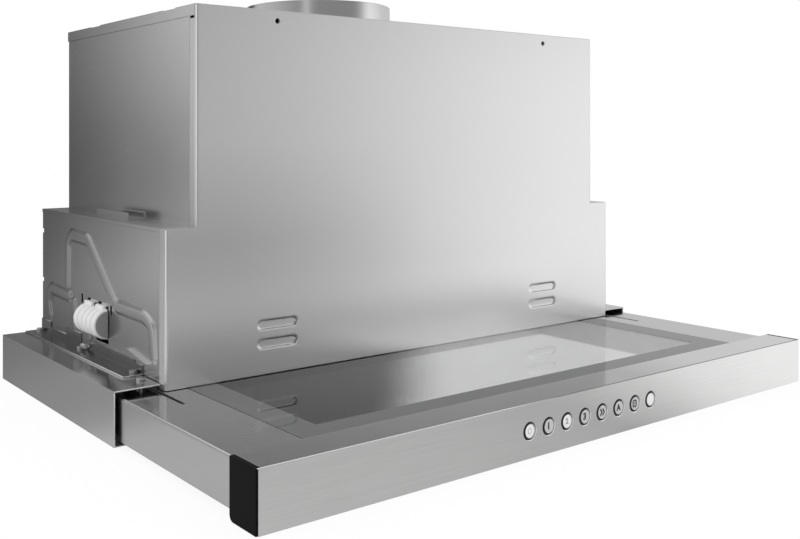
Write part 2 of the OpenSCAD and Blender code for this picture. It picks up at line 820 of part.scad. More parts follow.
module control_board() {
    post_h = 6;
    z0 = lid_z - box_h + box_t;
    x0 = box_x0 + box_t + board_rim;
    y0 = box_y0 + box_t + board_rim;
    x1 = box_x1 - box_t - board_rim;
    y1 = box_y1 - box_t - board_rim;
    z1 = z0 + post_h;
    u = (x1 - x0) / 66;
    v = (y1 - y0) / 111;
    color("darkgreen") {
        block([x0, y0, z1], [x1, y1, z1 + board_t]);
        for (x = [x0 + 5, x1 - 5]) for (y = [y0 + 5, y1 - 5]) rod_z(x, y, z0, post_r, post_h + tiny);
        // The transformer, a relay, a capacitor and the terminal strip
        block([x0 + 12 * u, y0 + 14 * v, z1], [x0 + 40 * u, y0 + 38 * v, z1 + box_h * 0.41]);
        block([x0 + 12 * u, y0 + 50 * v, z1], [x0 + 28 * u, y0 + 64 * v, z1 + box_h * 0.31]);
        rod_z(x0 + 48 * u, y0 + 60 * v, z1, 6, box_h * 0.38);
        block([x0 + 8 * u, y1 - 24 * v, z1], [x1 - 14 * u, y1 - 10 * v, z1 + box_h * 0.21]);
    }
}

// ---------- rails ----------

module bracket_screw_spots() {
    for (u = bracket_screws) translate([-wall_x - 4.5, bracket_y + u * upstand_s]) children();
}

module rail_cover(s) {
    color("silver") on_side(s) difference() {
        union() {
            stand(rail_y, back_y - rail_y) {
                rect([-half_w, 0], [sheet - half_w, rail_h]);
                rect([-half_w, rail_h - sheet], [-cover_x, rail_h]);
                rect([-half_w, 0], [rail_foot - half_w, sheet]);
            }
            block([-half_w, back_y - sheet, 0], [-cover_x, back_y, rail_h]);
        }
        lay(rail_h - 2 * sheet, 3 * sheet) {
            bracket_screw_spots() circle(tap_r);
            translate(cover_screw) rotate(90) obround(11, 5);
        }
    }
}

// Outline of a rail bracket's upstand: distance from its front, height
function upstand() = [
    [0, 0], [0, bracket_h - 4.8], [15, bracket_h - 4.8], [15, bracket_h - 2], [104, bracket_h - 2],
    [104, 3.8], [124, 3.8], [124, bracket_h], [158, bracket_h], [158, bracket_h - 6.4],
    [197, bracket_h - 6.4], [197, bracket_h - 1], [upstand_l, bracket_h - 1], [upstand_l, 0]
];

module rail_bracket(s) {
    color("gray") on_side(s) difference() {
        union() {
            block([-wall_x - bracket_w, bracket_y, rail_h], [-wall_x, back_y, rail_h + sheet]);
            flank(-wall_x - sheet, sheet) translate([bracket_y, rail_h]) scale([upstand_s, 1])
                polygon(upstand());
        }
        lay(rail_h - 1, sheet + 2) bracket_screw_spots() circle(tap_r);
    }
}

module slide_hanger(s) {
    top = rail_h - sheet;
    color("gray") on_side(s) difference() {
        union() {
            block([-stack_x, hanger_y0, slide_z - slide_h / 2], [rail_t - stack_x, hanger_y1, top]);
            block([-carrier_x, hanger_y0, top - rail_t], [rail_t - stack_x, hanger_y1, top]);
        }
        lay(top - 2 * rail_t, 3 * rail_t) bracket_screw_spots() circle(tap_r);
    }
}

// A channel whose web stands at x and which opens outwards (1) or inwards (-1)
module channel(x, w, h, y, open) {
    z0 = slide_z - h / 2;
    z1 = slide_z + h / 2;
    web = [x, x + open * rail_t];
    leg = [x, x + open * w];
    stand(y, slide_l) {
        rect([-max(web), z0], [-min(web), z1]);
        rect([-max(leg), z0], [-min(leg), z0 + rail_t]);
        rect([-max(leg), z1 - rail_t], [-min(leg), z1]);
    }
}

module slide_fixed(s) {
    color("lightgray") on_side(s)
        channel(stack_x, slide_w - rail_t - run_gap, slide_h, slide_fixed_y, 1);
}

// A row of balls on a flat cage, clipped to a flange at the height of flange_z
module ball_row(z, y0, y1, flange_z) {
    step = (y1 - y0) / (ball_n - 1);
    cage_w = 1.5;
    cage_t = 0.4;
    block([-ball_x - cage_w, y0 - 4, z - cage_t], [cage_w - ball_x, y1 + 4, z + cage_t]);
    block([-ball_x - cage_w, y0 - 4, min(z, flange_z)], [cage_w - ball_x, y0 - 2, max(z, flange_z)]);
    for (i = [0 : ball_n - 1]) translate([-ball_x, y0 + i * step, z]) sphere(ball_r);
}

module slide_mid(s) {
    outer = (slide_h - 2 * rail_t + mid_h) / 4;
    inner = (mid_h - 2 * rail_t + inner_h) / 4;
    flange = (mid_h - rail_t) / 2;
    color("gray") on_side(s) {
        channel(stack_x + rail_t + run_gap, slide_w - 2 * (rail_t + run_gap), mid_h, slide_mid_y, 1);
        for (t = [-1, 1]) {
            flange_z = slide_z + t * flange;
            ball_row(slide_z + t * outer, slide_fixed_y + 8, slide_mid_y + slide_l - 8, flange_z);
            ball_row(slide_z + t * inner, slide_mid_y + 8, slide_tray_y + slide_l - 8, flange_z);
        }
    }
}

module slide_tray(s) {
    top = tray_top - sheet;
    y1 = slide_tray_y + slide_l;
    out_x = carrier_x + rail_t;
    color("lightgray") on_side(s) {
        channel(carrier_x, slide_w - 3 * rail_t - 2 * run_gap, inner_h, slide_tray_y, -1);
        block([-out_x, slide_tray_y, slide_z - inner_h / 2], [-carrier_x, y1, top]);
        block([-out_x - carrier_foot, slide_tray_y, top - rail_t], [-carrier_x, y1, top]);
    }
}

// ---------- side clamps ----------

// Half disc whose flat side faces the side sheet
module clamp_outline(r) {
    translate([-clamp_x, clamp_z]) intersection() {
        circle(r);
        rect([-r, -r], [0, r]);
    }
}

module side_clamp(s) {
    pitch = clamp_l / rib_n;
    color("white") on_side(s) {
        stand(clamp_y, clamp_l) clamp_outline(clamp_r - 1.8);
        for (i = [0 : rib_n - 1]) stand(clamp_y + i * pitch, pitch * 0.6) clamp_outline(clamp_r);
        for (h = hook_at) {
            y0 = clamp_y + h - hook_w / 2;
            y1 = y0 + hook_w;
            block([-clamp_x - 4, y0, clamp_z + clamp_r * 0.7], [-clamp_x, y1, hook_z + 1]);
            block([-clamp_x - 4, y0, hook_z - 0.6], [-hook_in, y1, hook_z + 0.6]);
            block([-hook_in - 1, y0, hook_z - 0.6], [-hook_in, y1, hook_z + 2]);
            rod_y(sheet / 2 - wall_x, y0, hook_z, 1, hook_w);
        }
    }
}

// ---------- screws ----------

module body_screws() {
    color("lightgray") {
        for (s = [-1, 1]) on_side(s) {
            translate([0, 0, rail_h + sheet]) bracket_screw_spots() screw(3, 2, 3.2);
            translate([cover_screw[0], cover_screw[1], rail_h]) screw(3.5, 2, 3.5);
            translate([-wall_x, clamp_screw[0], clamp_screw[1]]) rotate([0, -90, 0]) screw(2.1, 1.6, 5);
        }
        translate([0, rear_y, 0]) rotate([90, 0, 0]) mirror([0, 0, 1])
            rear_screw_spots() screw(3, 1.8, 5);
    }
}

// ---------- lamps and switch ----------

module lamp(s) {
    color("silver") difference() {
        union() {
            rod_z(s * lamp_x, lamp_y, body_z, lamp_r, lamp_h);
            rod_z(s * lamp_x, lamp_y, plate_top, lamp_r + 2, 1.5);
        }
        rod_z(s * lamp_x, lamp_y, body_z - 1, lens_r + fit_gap, lens_t + 1.2);
    }
}

module lamp_lenses() {
    color("white") for (s = [-1, 1]) rod_z(s * lamp_x, lamp_y, body_z + 0.2, lens_r, lens_t);
}

module tray_switch() {
    x0 = frame_x + switch_side;
    y0 = tray_back - switch_back;
    color("dimgray") block([x0, y0, plate_top], [x0 + switch_w, y0 + switch_l, plate_top + switch_w - 1]);
}

// ---------- tray ----------

module tray_frame() {
    y0 = front_y + fascia_t;
    color("silver") difference() {
        stand(y0, tray_back - y0) difference() {
            round_high(tray_x, tray_z, tray_top, 2);
            round_high(tray_x - sheet, tray_z - 1, tray_top - sheet, 1);
        }
        lay(tray_top - 2 * sheet, 3 * sheet) {
            rect([-glass_x - glass_gap, glass_y0 - glass_gap], [glass_x + glass_gap, glass_y1 + glass_gap]);
            for (s = [-1, 1]) on_side(s)
                rect([-hanger_x - slit_w / 2, front_y + slit_front], [slit_w / 2 - hanger_x, tray_back + 1]);
        }
    }
}

module window_frame() {
    a = [-window_x, window_y0];
    b = [window_x, window_y1];
    wall = [sheet, sheet];
    lip = [window_lip, window_lip];
    color("darkgray") difference() {
        union() {
            lay(frame_top - sheet, sheet) rect([-frame_x, frame_y0], [frame_x, frame_y1]);
            lay(frame_top - sheet, tray_top - frame_top) difference() {
                rect([-frame_x, frame_y0], [frame_x, frame_y1]);
                rect([sheet - frame_x, frame_y0 + sheet], [frame_x - sheet, frame_y1 - sheet]);
            }
            lay(window_z, frame_top - window_z) rect(a - wall, b + wall);
            lay(window_z, sheet) rect(a - lip, b + lip);
        }
        lay(window_z - 1, tray_top) rect(a, b);
    }
}

module glass_gasket() {
    color("dimgray") lay(frame_top, gasket_t) difference() {
        rect([-glass_x, glass_y0], [glass_x, glass_y1]);
        rect([gasket_w - glass_x, glass_y0 + gasket_w], [glass_x - gasket_w, glass_y1 - gasket_w]);
    }
}

module glass_pane() {
    color("slategray") lay(glass_z, glass_t) rect([-glass_x, glass_y0], [glass_x, glass_y1]);
}

function button_x(i) = (i - (button_n + 1) / 2) * button_pitch;

module fascia_panel() {
    skin_x = half_w - cap_edge;
    rim = 0.6;
    color("silver") difference() {
        union() {
            block([-skin_x, front_y, 0], [skin_x, front_y + fascia_t, fascia_h]);
            block([-tray_x, front_y, tray_top], [tray_x, front_y + fascia_d, fascia_h]);
            block([-tray_x, front_y, 0], [tray_x, front_y + fascia_foot, fascia_t]);
        }
        for (i = [1 : button_n]) {
            rod_y(button_x(i), front_y - 1, button_z, button_hole_r, fascia_t + 2);
            translate([button_x(i), front_y - tiny, button_z]) rotate([-90, 0, 0])
                cylinder(r1 = button_hole_r + rim, r2 = button_hole_r, h = rim);
        }
    }
}

module end_cap(s) {
    corner = 4;
    color("dimgray") on_side(s) difference() {
        flank(-half_w, half_w - tray_x) difference() {
            rect([front_y + cap_edge / 2, 0], [front_y + fascia_d, fascia_h]);
            translate([front_y + fascia_d - corner, corner]) difference() {
                rect([0, -corner - 1], [corner + 1, 0]);
                circle(corner);
            }
        }
        block([cap_edge - half_w, front_y - 1, -1], [1 - tray_x, front_y + fascia_t, fascia_h + 1]);
    }
}

// ---------- buttons ----------

module button(i) {
    x = button_x(i);
    back = front_y + fascia_t + seat_gap;
    color("whitesmoke") {
        rod_y(x, front_y + seat_gap, button_z, button_r, fascia_t + seat_gap);
        rod_y(x, back, button_z, button_hole_r + 1.2, 1);
        rod_y(x, back, button_z, button_stem_r, stem_end - back);
    }
}

module button_housing() {
    rear = front_y + fascia_t;
    color("dimgray") difference() {
        union() {
            stand(housing_y, housing_t) rect([-housing_x, housing_z0], [housing_x, housing_z1]);
            for (s = [-1, 1]) for (z = [housing_z0 + post_in, housing_z1 - post_in])
                rod_y(s * (housing_x - post_in), rear, z, post_r, board_y - rear);
        }
        for (i = [1 : button_n])
            rod_y(button_x(i), housing_y - 1, button_z, button_stem_r + fit_gap, housing_t + 2);
    }
}

module button_board() {
    color("darkgreen") {
        stand(board_y, board_t) rect([-housing_x, housing_z0], [housing_x, housing_z1]);
        for (i = [1 : button_n]) rod_y(button_x(i), board_y - switch_h, button_z, 2, switch_h + tiny);
    }
}

module switch_magnet() {
    top = tray_top - sheet;
    x0 = frame_x + switch_side;
    y0 = tray_back - switch_back + 2;
    color("gray") block([x0, y0, top - magnet_h], [x0 + switch_w - 2, y0 + switch_l - 4, top]);
}

// ---------- filters ----------

// Corners of a filter's opening, larger by grow
function open0(grow) = [filter_x0 + filter_rim - grow, filter_y0 + filter_head - grow];
function open1(grow) = [filter_x1 - filter_rim + grow, filter_y1 - filter_rim + grow];

// Room for a latch, larger by gap: its body, its ears and its nose
module latch_room(y0, l, nose_y, gap) {
    x = latch_w / 2 + gap;
    nose_x = nose_w / 2 + gap;
    top = nose_z + nose_h + gap;
    block([filter_x - x, y0, filter_z + (gap > 0 ? -1 : 0.2)], [filter_x + x, y0 + l, nose_z + 1]);
    block([filter_x - x - latch_ear, y0, nose_z - gap], [filter_x + x + latch_ear, y0 + l, top]);
    block([filter_x - nose_x, nose_y, nose_z - gap], [filter_x + nose_x, y0 + 1, top]);
}

module filter_frame(s) {
    color("silver") on_side(-s) difference() {
        union() {
            block([filter_x0, filter_y0, filter_z], [filter_x1, filter_y1, filter_z + filter_t]);
            for (t = [-1, 1]) {
                x0 = filter_x + t * filter_w / 3 - tab_w / 2;
                block([x0, filter_y1 - 5, hinge_z - 0.5], [x0 + tab_w, hinge_y, hinge_z + 0.5]);
                rod_x(x0, hinge_y, hinge_z, hinge_r, tab_w);
            }
        }
        lay(filter_z - 1, filter_t + 2) rect(open0(0), open1(0));
        lay(filter_z + skin, filter_t - 2 * skin) rect(open0(groove), open1(groove));
        latch_room(pocket_y, pocket_l, filter_y0 - 1, fit_gap);
        filter_chamfer();
    }
}

// Bevel of the rear lower edge, which lets the filter swing down, beside its tabs
module filter_chamfer() {
    x = [filter_x0 - 1, filter_x - filter_w / 3, filter_x + filter_w / 3, filter_x1 + 1];
    for (i = [0 : 2]) {
        a = x[i] + (i > 0 ? tab_w / 2 : 0);
        b = x[i + 1] - (i < 2 ? tab_w / 2 : 0);
        flank(a, b - a) polygon([
            [filter_y1 - filter_cut - 1, filter_z - 1],
            [filter_y1 + 1, filter_z - 1],
            [filter_y1 + 1, filter_z + filter_cut + 1]
        ]);
    }
}

// A flat pack of pressed metal with rows of slots
module filter_mesh(s) {
    a = open0(groove - fit_gap);
    b = open1(groove - fit_gap);
    nx = 9;
    ny = 6;
    rim = 6;
    dx = (b[0] - a[0] - 2 * rim) / nx;
    dy = (b[1] - a[1] - 2 * rim) / ny;
    color("lightgray") on_side(-s) difference() {
        lay(filter_z + skin, filter_t - 2 * skin - fit_gap) rect(a, b);
        lay(filter_z, filter_t) for (i = [0 : nx - 1]) for (j = [0 : ny - 1])
            translate([a[0] + rim + (i + 0.5) * dx, a[1] + rim + (j + 0.5) * dy])
                square([dx - 6, dy - 8], center = true);
    }
}

module filter_latch(s) {
    y0 = pocket_y + latch_travel + fit_gap;
    x = latch_w / 2 - 4;
    color("dimgray") on_side(-s) difference() {
        latch_room(y0, latch_l, filter_y0, 0);
        block([filter_x - x, y0 + 4, filter_z - 1], [filter_x + x, y0 + latch_l - 3, filter_z + 2.4]);
    }
}

// ---------- selection ----------

front_panel();
side_panel(-1);  // side_panel_left
side_panel(1);  // side_panel_right
rear_panel();
top_lid();
bottom_plate();
duct_spigot();
flap(-1);  // flap_front
flap(1);  // flap_rear
fan_housing();
fan_impeller();
fan_motor();
motor_bracket();
motor_capacitor();
control_box();
control_board();
mains_gland();
rail_cover(-1);  // rail_cover_left
rail_cover(1);  // rail_cover_right
rail_bracket(-1);  // rail_bracket_left
rail_bracket(1);  // rail_bracket_right
slide_hanger(-1);  // slide_hanger_left
slide_hanger(1);  // slide_hanger_right
slide_fixed(-1);  // slide_fixed_left
slide_fixed(1);  // slide_fixed_right
slide_mid(-1);  // slide_mid_left
slide_mid(1);  // slide_mid_right
slide_tray(-1);  // slide_tray_left
slide_tray(1);  // slide_tray_right
body_screws();
side_clamp(-1);  // side_clamp_left
side_clamp(1);  // side_clamp_right
lamp(-1);  // lamp_left
lamp(1);  // lamp_right
lamp_lenses();
tray_switch();
tray_frame();
window_frame();
glass_gasket();
glass_pane();
fascia_panel();
end_cap(-1);  // end_cap_left
end_cap(1);  // end_cap_right
button_housing();
button_board();
button(1);  // button_1
button(2);  // button_2
button(3);  // button_3
button(4);  // button_4
button(5);  // button_5
button(6);  // button_6
button(7);  // button_7
button(8);  // button_8
switch_magnet();
filter_frame(-1);  // filter_frame_left
filter_frame(1);  // filter_frame_right
filter_mesh(-1);  // filter_mesh_left
filter_mesh(1);  // filter_mesh_right
filter_latch(-1);  // filter_latch_left
filter_latch(1);  // filter_latch_right
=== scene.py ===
import math

import bmesh
import bpy
import numpy as np
from mathutils import Matrix, Vector


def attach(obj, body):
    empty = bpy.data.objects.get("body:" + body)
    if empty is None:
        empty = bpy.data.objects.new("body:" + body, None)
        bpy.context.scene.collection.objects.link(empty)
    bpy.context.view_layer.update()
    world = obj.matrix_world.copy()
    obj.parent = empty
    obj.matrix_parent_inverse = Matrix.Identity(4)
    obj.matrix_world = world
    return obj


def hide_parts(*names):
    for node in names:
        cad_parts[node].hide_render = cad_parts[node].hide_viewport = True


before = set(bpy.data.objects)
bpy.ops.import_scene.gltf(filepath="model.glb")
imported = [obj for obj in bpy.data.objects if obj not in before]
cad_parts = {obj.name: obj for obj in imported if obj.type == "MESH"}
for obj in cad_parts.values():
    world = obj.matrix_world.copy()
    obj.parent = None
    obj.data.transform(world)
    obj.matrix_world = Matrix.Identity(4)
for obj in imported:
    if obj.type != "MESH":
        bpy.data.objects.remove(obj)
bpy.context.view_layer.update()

MM = 0.001

# Sizes repeated from the CAD source, in millimetres
FRONT_Y, BACK_Y, BODY_Y, RAIL_Y = -223.75, 223.75, -35.75, -28.75
WALL_X, UP_X, LOW_X = 260.25, 235.0, 260.75
HALF_W, FASCIA_H = 299.0, 38.8
BODY_H, STEP_Z, RAIL_H = 330.5, 158.5, 41.2
BRACKET_Y, BRACKET_X = RAIL_Y + 32.0, WALL_X + 17.1
CLAMP_Y, CLAMP_L, CLAMP_X, CLAMP_Z, CLAMP_R, HOOK_Z = 69.25, 46.0, 260.75, 70.6, 12.8, 85.1
CLAMP_RIBS, HOOK_AT, HOOK_HALF = 5, (11, 35), 7.4
BUTTON_PITCH, BUTTON_Z = 20.1, 19.4
BUTTON_GAP_R, BUTTON_HOLE_R = 5.72, 6.55
LOUVRE_X, LOUVRE_Z, LOUVRE_PITCH, LOUVRE_HALF = 159.5, 61.7, 15.2, 15.5
SLIT_X, SLIT_Y, SLIT_HALF, TRAY_BACK = 264.55, -72.75, 2.5, 38.25
WINDOW_X, WINDOW_FRONT, WINDOW_BACK = 217.0, -168.0, 22.5
BEAD_FOOT = 59.25
# Middle lines of the pressed beads, as distances behind the front sheet and heights
BEADS = [
    [(194, 92), (194, 132), (186, 139.5), (147, 138), (89, 88.5), (36, 87.5), (23, 82), (20, BEAD_FOOT)],
    [(238, BEAD_FOOT), (242.5, 73), (237, 85), (190, 83)],
    [(178.5, 78), (178.5, BEAD_FOOT)],
]
SIDES = ((-1, "left"), (1, "right"))


# ---------- materials ----------

def calc(nt, op, *values):
    """The result of a math node whose inputs are numbers or sockets."""
    node = nt.nodes.new("ShaderNodeMath")
    node.operation = op
    for k, v in enumerate(values):
        if isinstance(v, (int, float)):
            node.inputs[k].default_value = v
        else:
            nt.links.new(v, node.inputs[k])
    return node.outputs[0]


class Mat:
    """A node material: a Principled shader and short calls for what feeds it."""

    def __init__(self, name):
        self.mat = bpy.data.materials.new(name)
        self.mat.use_nodes = True
        self.nt = self.mat.node_tree
        self.bsdf = self.nt.nodes["Principled BSDF"]
        self.xyz = self.add("ShaderNodeTexCoord").outputs["Object"]

    def add(self, kind, **props):
        """A new node with its properties set."""
        node = self.nt.nodes.new(kind)
        for k, v in props.items():
            setattr(node, k, v)
        return node

    def link(self, a, b):
        self.nt.links.new(a, b)

    def put(self, **sockets):
        """Uniform values on the shader's own sockets."""
        for k, v in sockets.items():
            self.bsdf.inputs[k.replace("_", " ")].default_value = v
        return self

    def stretch(self, scale):
        """The object coordinates scaled by axis."""
        node = self.add("ShaderNodeMapping")
        node.inputs["Scale"].default_value = scale
        self.link(self.xyz, node.inputs["Vector"])
        return node.outputs["Vector"]

    def noise(self, scale, stretch=(1, 1, 1), detail=4.0, rough=0.6):
        node = self.add("ShaderNodeTexNoise")
        node.inputs["Scale"].default_value = scale
        node.inputs["Detail"].default_value = detail
        node.inputs["Roughness"].default_value = rough
        self.link(self.stretch(stretch), node.inputs["Vector"])
        return node.outputs["Fac"]

    def cells(self, scale, stretch=(1, 1, 1)):
        """A random grey for each cell, as for the crystals of a zinc coat."""
        node = self.add("ShaderNodeTexVoronoi")
        node.inputs["Scale"].default_value = scale
        self.link(self.stretch(stretch), node.inputs["Vector"])
        grey = self.add("ShaderNodeRGBToBW")
        self.link(node.outputs["Color"], grey.inputs[0])
        return grey.outputs[0]

    def blend(self, a, b, share):
        node = self.add("ShaderNodeMix", data_type="FLOAT")
        node.inputs["Factor"].default_value = share
        self.link(a, node.inputs["A"])
        self.link(b, node.inputs["B"])
        return node.outputs["Result"]

    def span(self, value, low, high, a=0.3, b=0.7):
        """The value with a to b mapped to low to high, and held at both ends."""
        node = self.add("ShaderNodeMapRange")
        node.inputs["From Min"].default_value = a
        node.inputs["From Max"].default_value = b
        node.inputs["To Min"].default_value = low
        node.inputs["To Max"].default_value = high
        self.link(value, node.inputs["Value"])
        return node.outputs["Result"]

    def tint(self, value, dark, light, a=0.3, b=0.7):
        """The base colour between two colours."""
        node = self.add("ShaderNodeValToRGB")
        node.color_ramp.elements[0].position = a
        node.color_ramp.elements[1].position = b
        node.color_ramp.elements[0].color = (*dark, 1)
        node.color_ramp.elements[1].color = (*light, 1)
        self.link(value, node.inputs["Fac"])
        self.link(node.outputs["Color"], self.bsdf.inputs["Base Color"])
        return self

    def shade(self, value):
        """Multiply the base colour by a value."""
        dim = self.add("ShaderNodeMix", data_type="RGBA", blend_type="MULTIPLY")
        dim.inputs["Factor"].default_value = 1.0
        self.link(self.bsdf.inputs["Base Color"].links[0].from_socket, dim.inputs["A"])
        self.link(value, dim.inputs["B"])
        self.link(dim.outputs["Result"], self.bsdf.inputs["Base Color"])
        return self

    def split(self):
        """Object coordinates in metres, by axis."""
        node = self.add("ShaderNodeSeparateXYZ")
        self.link(self.xyz, node.inputs[0])
        return node.outputs

    def calc(self, op, *values):
        return calc(self.nt, op, *values)

    def roughen(self, value, low, high):
        self.link(self.span(value, low, high), self.bsdf.inputs["Roughness"])
        return self

    def relief(self, value, strength, depth, edge=0.0):
        """Fine relief from a value, on edges rounded to a radius in metres."""
        bump = self.add("ShaderNodeBump")
        bump.inputs["Strength"].default_value = strength
        bump.inputs["Distance"].default_value = depth
        self.link(value, bump.inputs["Height"])
        if edge:
            bevel = self.add("ShaderNodeBevel", samples=6)
            bevel.inputs["Radius"].default_value = edge
            self.link(bevel.outputs["Normal"], bump.inputs["Normal"])
        self.link(bump.outputs["Normal"], self.bsdf.inputs["Normal"])
        return self


def grey(v, warm=0.0):
    """A grey, a little redder than blue where it is warm."""
    return (v * (1 + warm), v, v * (1 - warm))


def sheet_metal(name, tone, rough, along=None, contrast=0.05, edge=0.0006, spangle=0.0, warm=0.0, brush=0.06,
                metal=1.0, top=None, rear=1.0, spread=0.03, low=1.0, left_level_shade=1.0):
    """Rolled or brushed sheet: fine lines along an axis, broad mottling, and spangle on zinc.

    rough varies by spread, and level faces have top instead. Three shares of the tone paint light and shade onto the
    sheet:
    rear paints shade towards the rear and light near the lid, low paints light at the left's foot and shade round the
    step's height, and the third paints shade on level faces at the left.
    """
    m = Mat(name).put(Metallic=metal)
    stretch = {"x": (0.02, 1, 1), "y": (1, 0.02, 1), "z": (1, 1, 0.02), None: (1, 1, 1)}[along]
    lines = m.noise(900, stretch, detail=6)
    broad = m.noise(9, (1, 1, 1), detail=3)
    tone_map = m.blend(lines, broad, 0.45)
    if spangle:
        tone_map = m.blend(tone_map, m.cells(70), spangle)
    m.tint(tone_map, grey(tone * (1 - contrast), warm), grey(tone * (1 + contrast), warm))
    if rear < 1:
        # Painted shade towards the rear and painted light near the lid
        place = m.split()
        m.shade(m.span(place["Y"], 1, rear, -0.02, 0.21))
        m.shade(m.span(place["Z"], 1, 1.3, 0.24, 0.33))
    if low > 1:
        # On the left, painted light at the foot and painted shade round the height of the step
        place = m.split()
        foot = m.calc("MULTIPLY", m.span(place["Z"], 1, 0, 0.055, 0.12), m.span(place["X"], 1, 0, 0.08, 0.2))
        m.shade(m.span(foot, 1, low, 0, 1))
        off = m.calc("ABSOLUTE", m.calc("SUBTRACT", place["Z"], 0.145))
        band = m.calc("MULTIPLY", m.span(off, 1, 0, 0.0, 0.08), m.span(place["X"], 1, 0, -0.2, 0.0))
        m.shade(m.span(band, 1, 0.8, 0, 1))
    m.roughen(m.blend(lines, broad, 0.6), rough - spread, rough + spread)
    if top is not None:
        # How far a face looks straight up, from the true normal
        up = m.add("ShaderNodeSeparateXYZ")
        m.link(m.add("ShaderNodeNewGeometry").outputs["True Normal"], up.inputs[0])
        level = m.add("ShaderNodeMix", data_type="FLOAT")
        m.link(m.span(up.outputs["Z"], 0, 1, 0.9, 0.98), level.inputs["Factor"])
        m.link(m.bsdf.inputs["Roughness"].links[0].from_socket, level.inputs["A"])
        m.link(m.span(m.blend(lines, broad, 0.5), top - 0.02, top + 0.02), level.inputs["B"])
        m.link(level.outputs["Result"], m.bsdf.inputs["Roughness"])
        # Painted shade on level faces at the left
        if left_level_shade < 1:
            dim = m.add("ShaderNodeMix", data_type="FLOAT")
            dim.inputs["A"].default_value = 1.0
            m.link(m.span(up.outputs["Z"], 0, 1, 0.9, 0.98), dim.inputs["Factor"])
            m.link(m.span(m.split()["X"], left_level_shade, 1, 0.06, 0.14), dim.inputs["B"])
            m.shade(dim.outputs["Result"])
    return m.relief(lines, brush, 0.00004, edge).mat


def moulded(name, tone, rough, grain=1800, contrast=0.12, edge=0.0005, depth=0.00005, warm=0.0, gloss=0.5):
    """Moulded plastic with a fine spark-eroded grain."""
    m = Mat(name).put(Specular_IOR_Level=gloss)
    fine = m.noise(grain, detail=2)
    broad = m.noise(25, detail=3)
    m.tint(m.blend(fine, broad, 0.5), grey(tone * (1 - contrast), warm), grey(tone * (1 + contrast), warm))
    m.roughen(m.blend(fine, broad, 0.4), rough - 0.06, rough + 0.06)
    return m.relief(fine, 0.25, depth, edge).mat


def edge_mask(m, value, edge):
    """1 below an edge in millimetres and 0 above it, over a soft millimetre."""
    return m.span(value, 1, 0, (edge - 0.5) * MM, (edge + 0.5) * MM)


def smoked_glass():
    """Smoked glass: a grey printed border, and a window with a painted reflection, dark on the left and light on the
    right.
    """
    m = Mat("smoked_glass").put(IOR=1.5, Metallic=0.0)
    place = m.split()
    x, y = place["X"], place["Y"]
    inside = edge_mask(m, m.calc("ABSOLUTE", x), WINDOW_X)
    for way, edge in ((-1.0, -WINDOW_FRONT), (1.0, WINDOW_BACK)):
        inside = m.calc("MULTIPLY", inside, edge_mask(m, m.calc("MULTIPLY", y, way), edge))
    # Painted reflection: the window's colour runs from dark to light along a slant, with a soft wavy edge
    slant = m.calc("MULTIPLY_ADD", y, -0.9, x)
    clear = m.span(m.calc("ADD", slant, m.span(m.noise(9, detail=3), -0.004, 0.004)), 0, 1, -0.03, 0.07)
    ease = m.add("ShaderNodeMapRange", interpolation_type="SMOOTHERSTEP")
    m.link(clear, ease.inputs["Value"])
    tone = m.add("ShaderNodeMix", data_type="RGBA")
    tone.inputs["A"].default_value = (0.03, 0.03, 0.03, 1)
    tone.inputs["B"].default_value = (0.72, 0.725, 0.725, 1)
    m.link(ease.outputs["Result"], tone.inputs["Factor"])
    whole = m.add("ShaderNodeMix", data_type="RGBA")
    whole.inputs["A"].default_value = (0.14, 0.142, 0.142, 1)
    m.link(inside, whole.inputs["Factor"])
    m.link(tone.outputs["Result"], whole.inputs["B"])
    m.link(whole.outputs["Result"], m.bsdf.inputs["Base Color"])
    m.link(inside, m.bsdf.inputs["Transmission Weight"])
    m.roughen(m.noise(14, (1, 0.4, 1), detail=5), 0.0, 0.03)
    return m.mat


def ribbed_plastic():
    """White plastic with painted shade in the grooves between the clamp's ribs."""
    m = Mat("clamp_white")
    fine = m.noise(1200, detail=2)
    m.tint(fine, grey(0.91), grey(0.96))
    place = m.split()
    pitches = CLAMP_RIBS / CLAMP_L
    turn = m.calc("FRACT", m.calc("MULTIPLY_ADD", place["Y"], pitches / MM, -pitches * CLAMP_Y))
    away = m.calc("ABSOLUTE", m.calc("MULTIPLY_ADD", turn, 2.0, -1.0))
    groove = m.span(m.calc("POWER", away, 6.0), 0, 1, 0.15, 0.8)
    # No painted shade on the hooked tabs above the ribs
    groove = m.calc("MULTIPLY", groove, m.span(place["Z"], 1, 0, 0.0815, 0.0825))
    m.shade(m.span(groove, 1, 0.42, 0, 1))
    m.roughen(fine, 0.3, 0.4)
    return m.relief(fine, 0.25, 0.00003, 0.0005).mat


def painted_edge_light():
    """The fascia's top edge, with a painted highlight on the left and painted shade on the right."""
    m = Mat("fascia_edge").put(Metallic=0.2)
    x = m.calc("ADD", m.split()["X"], m.span(m.noise(60), -0.01, 0.01))
    m.tint(m.span(x, 1, 0, -0.09, -0.04), grey(0.10), grey(0.88), 0.0, 1.0)
    m.roughen(m.noise(400), 0.25, 0.4)
    return m.mat


def lens_plastic():
    """Milky plastic with small prisms, for the lamps' lenses."""
    m = Mat("lamp_lens").put(Transmission_Weight=0.35, IOR=1.45)
    prisms = m.cells(700)
    m.tint(prisms, (0.80, 0.81, 0.80), (0.92, 0.92, 0.90), 0.0, 1.0)
    m.roughen(m.noise(60), 0.28, 0.42)
    return m.relief(prisms, 0.5, 0.0002).mat


def circuit_board():
    """Green solder mask over raised tracks."""
    m = Mat("circuit_board").put(Roughness=0.4)
    tracks = m.add("ShaderNodeTexBrick")
    tracks.inputs["Scale"].default_value = 90
    m.link(m.xyz, tracks.inputs["Vector"])
    g = m.add("ShaderNodeRGBToBW")
    m.link(tracks.outputs["Color"], g.inputs[0])
    m.tint(g.outputs[0], (0.01, 0.07, 0.03), (0.03, 0.16, 0.07), 0.0, 1.0)
    return m.relief(g.outputs[0], 0.3, 0.0001).mat


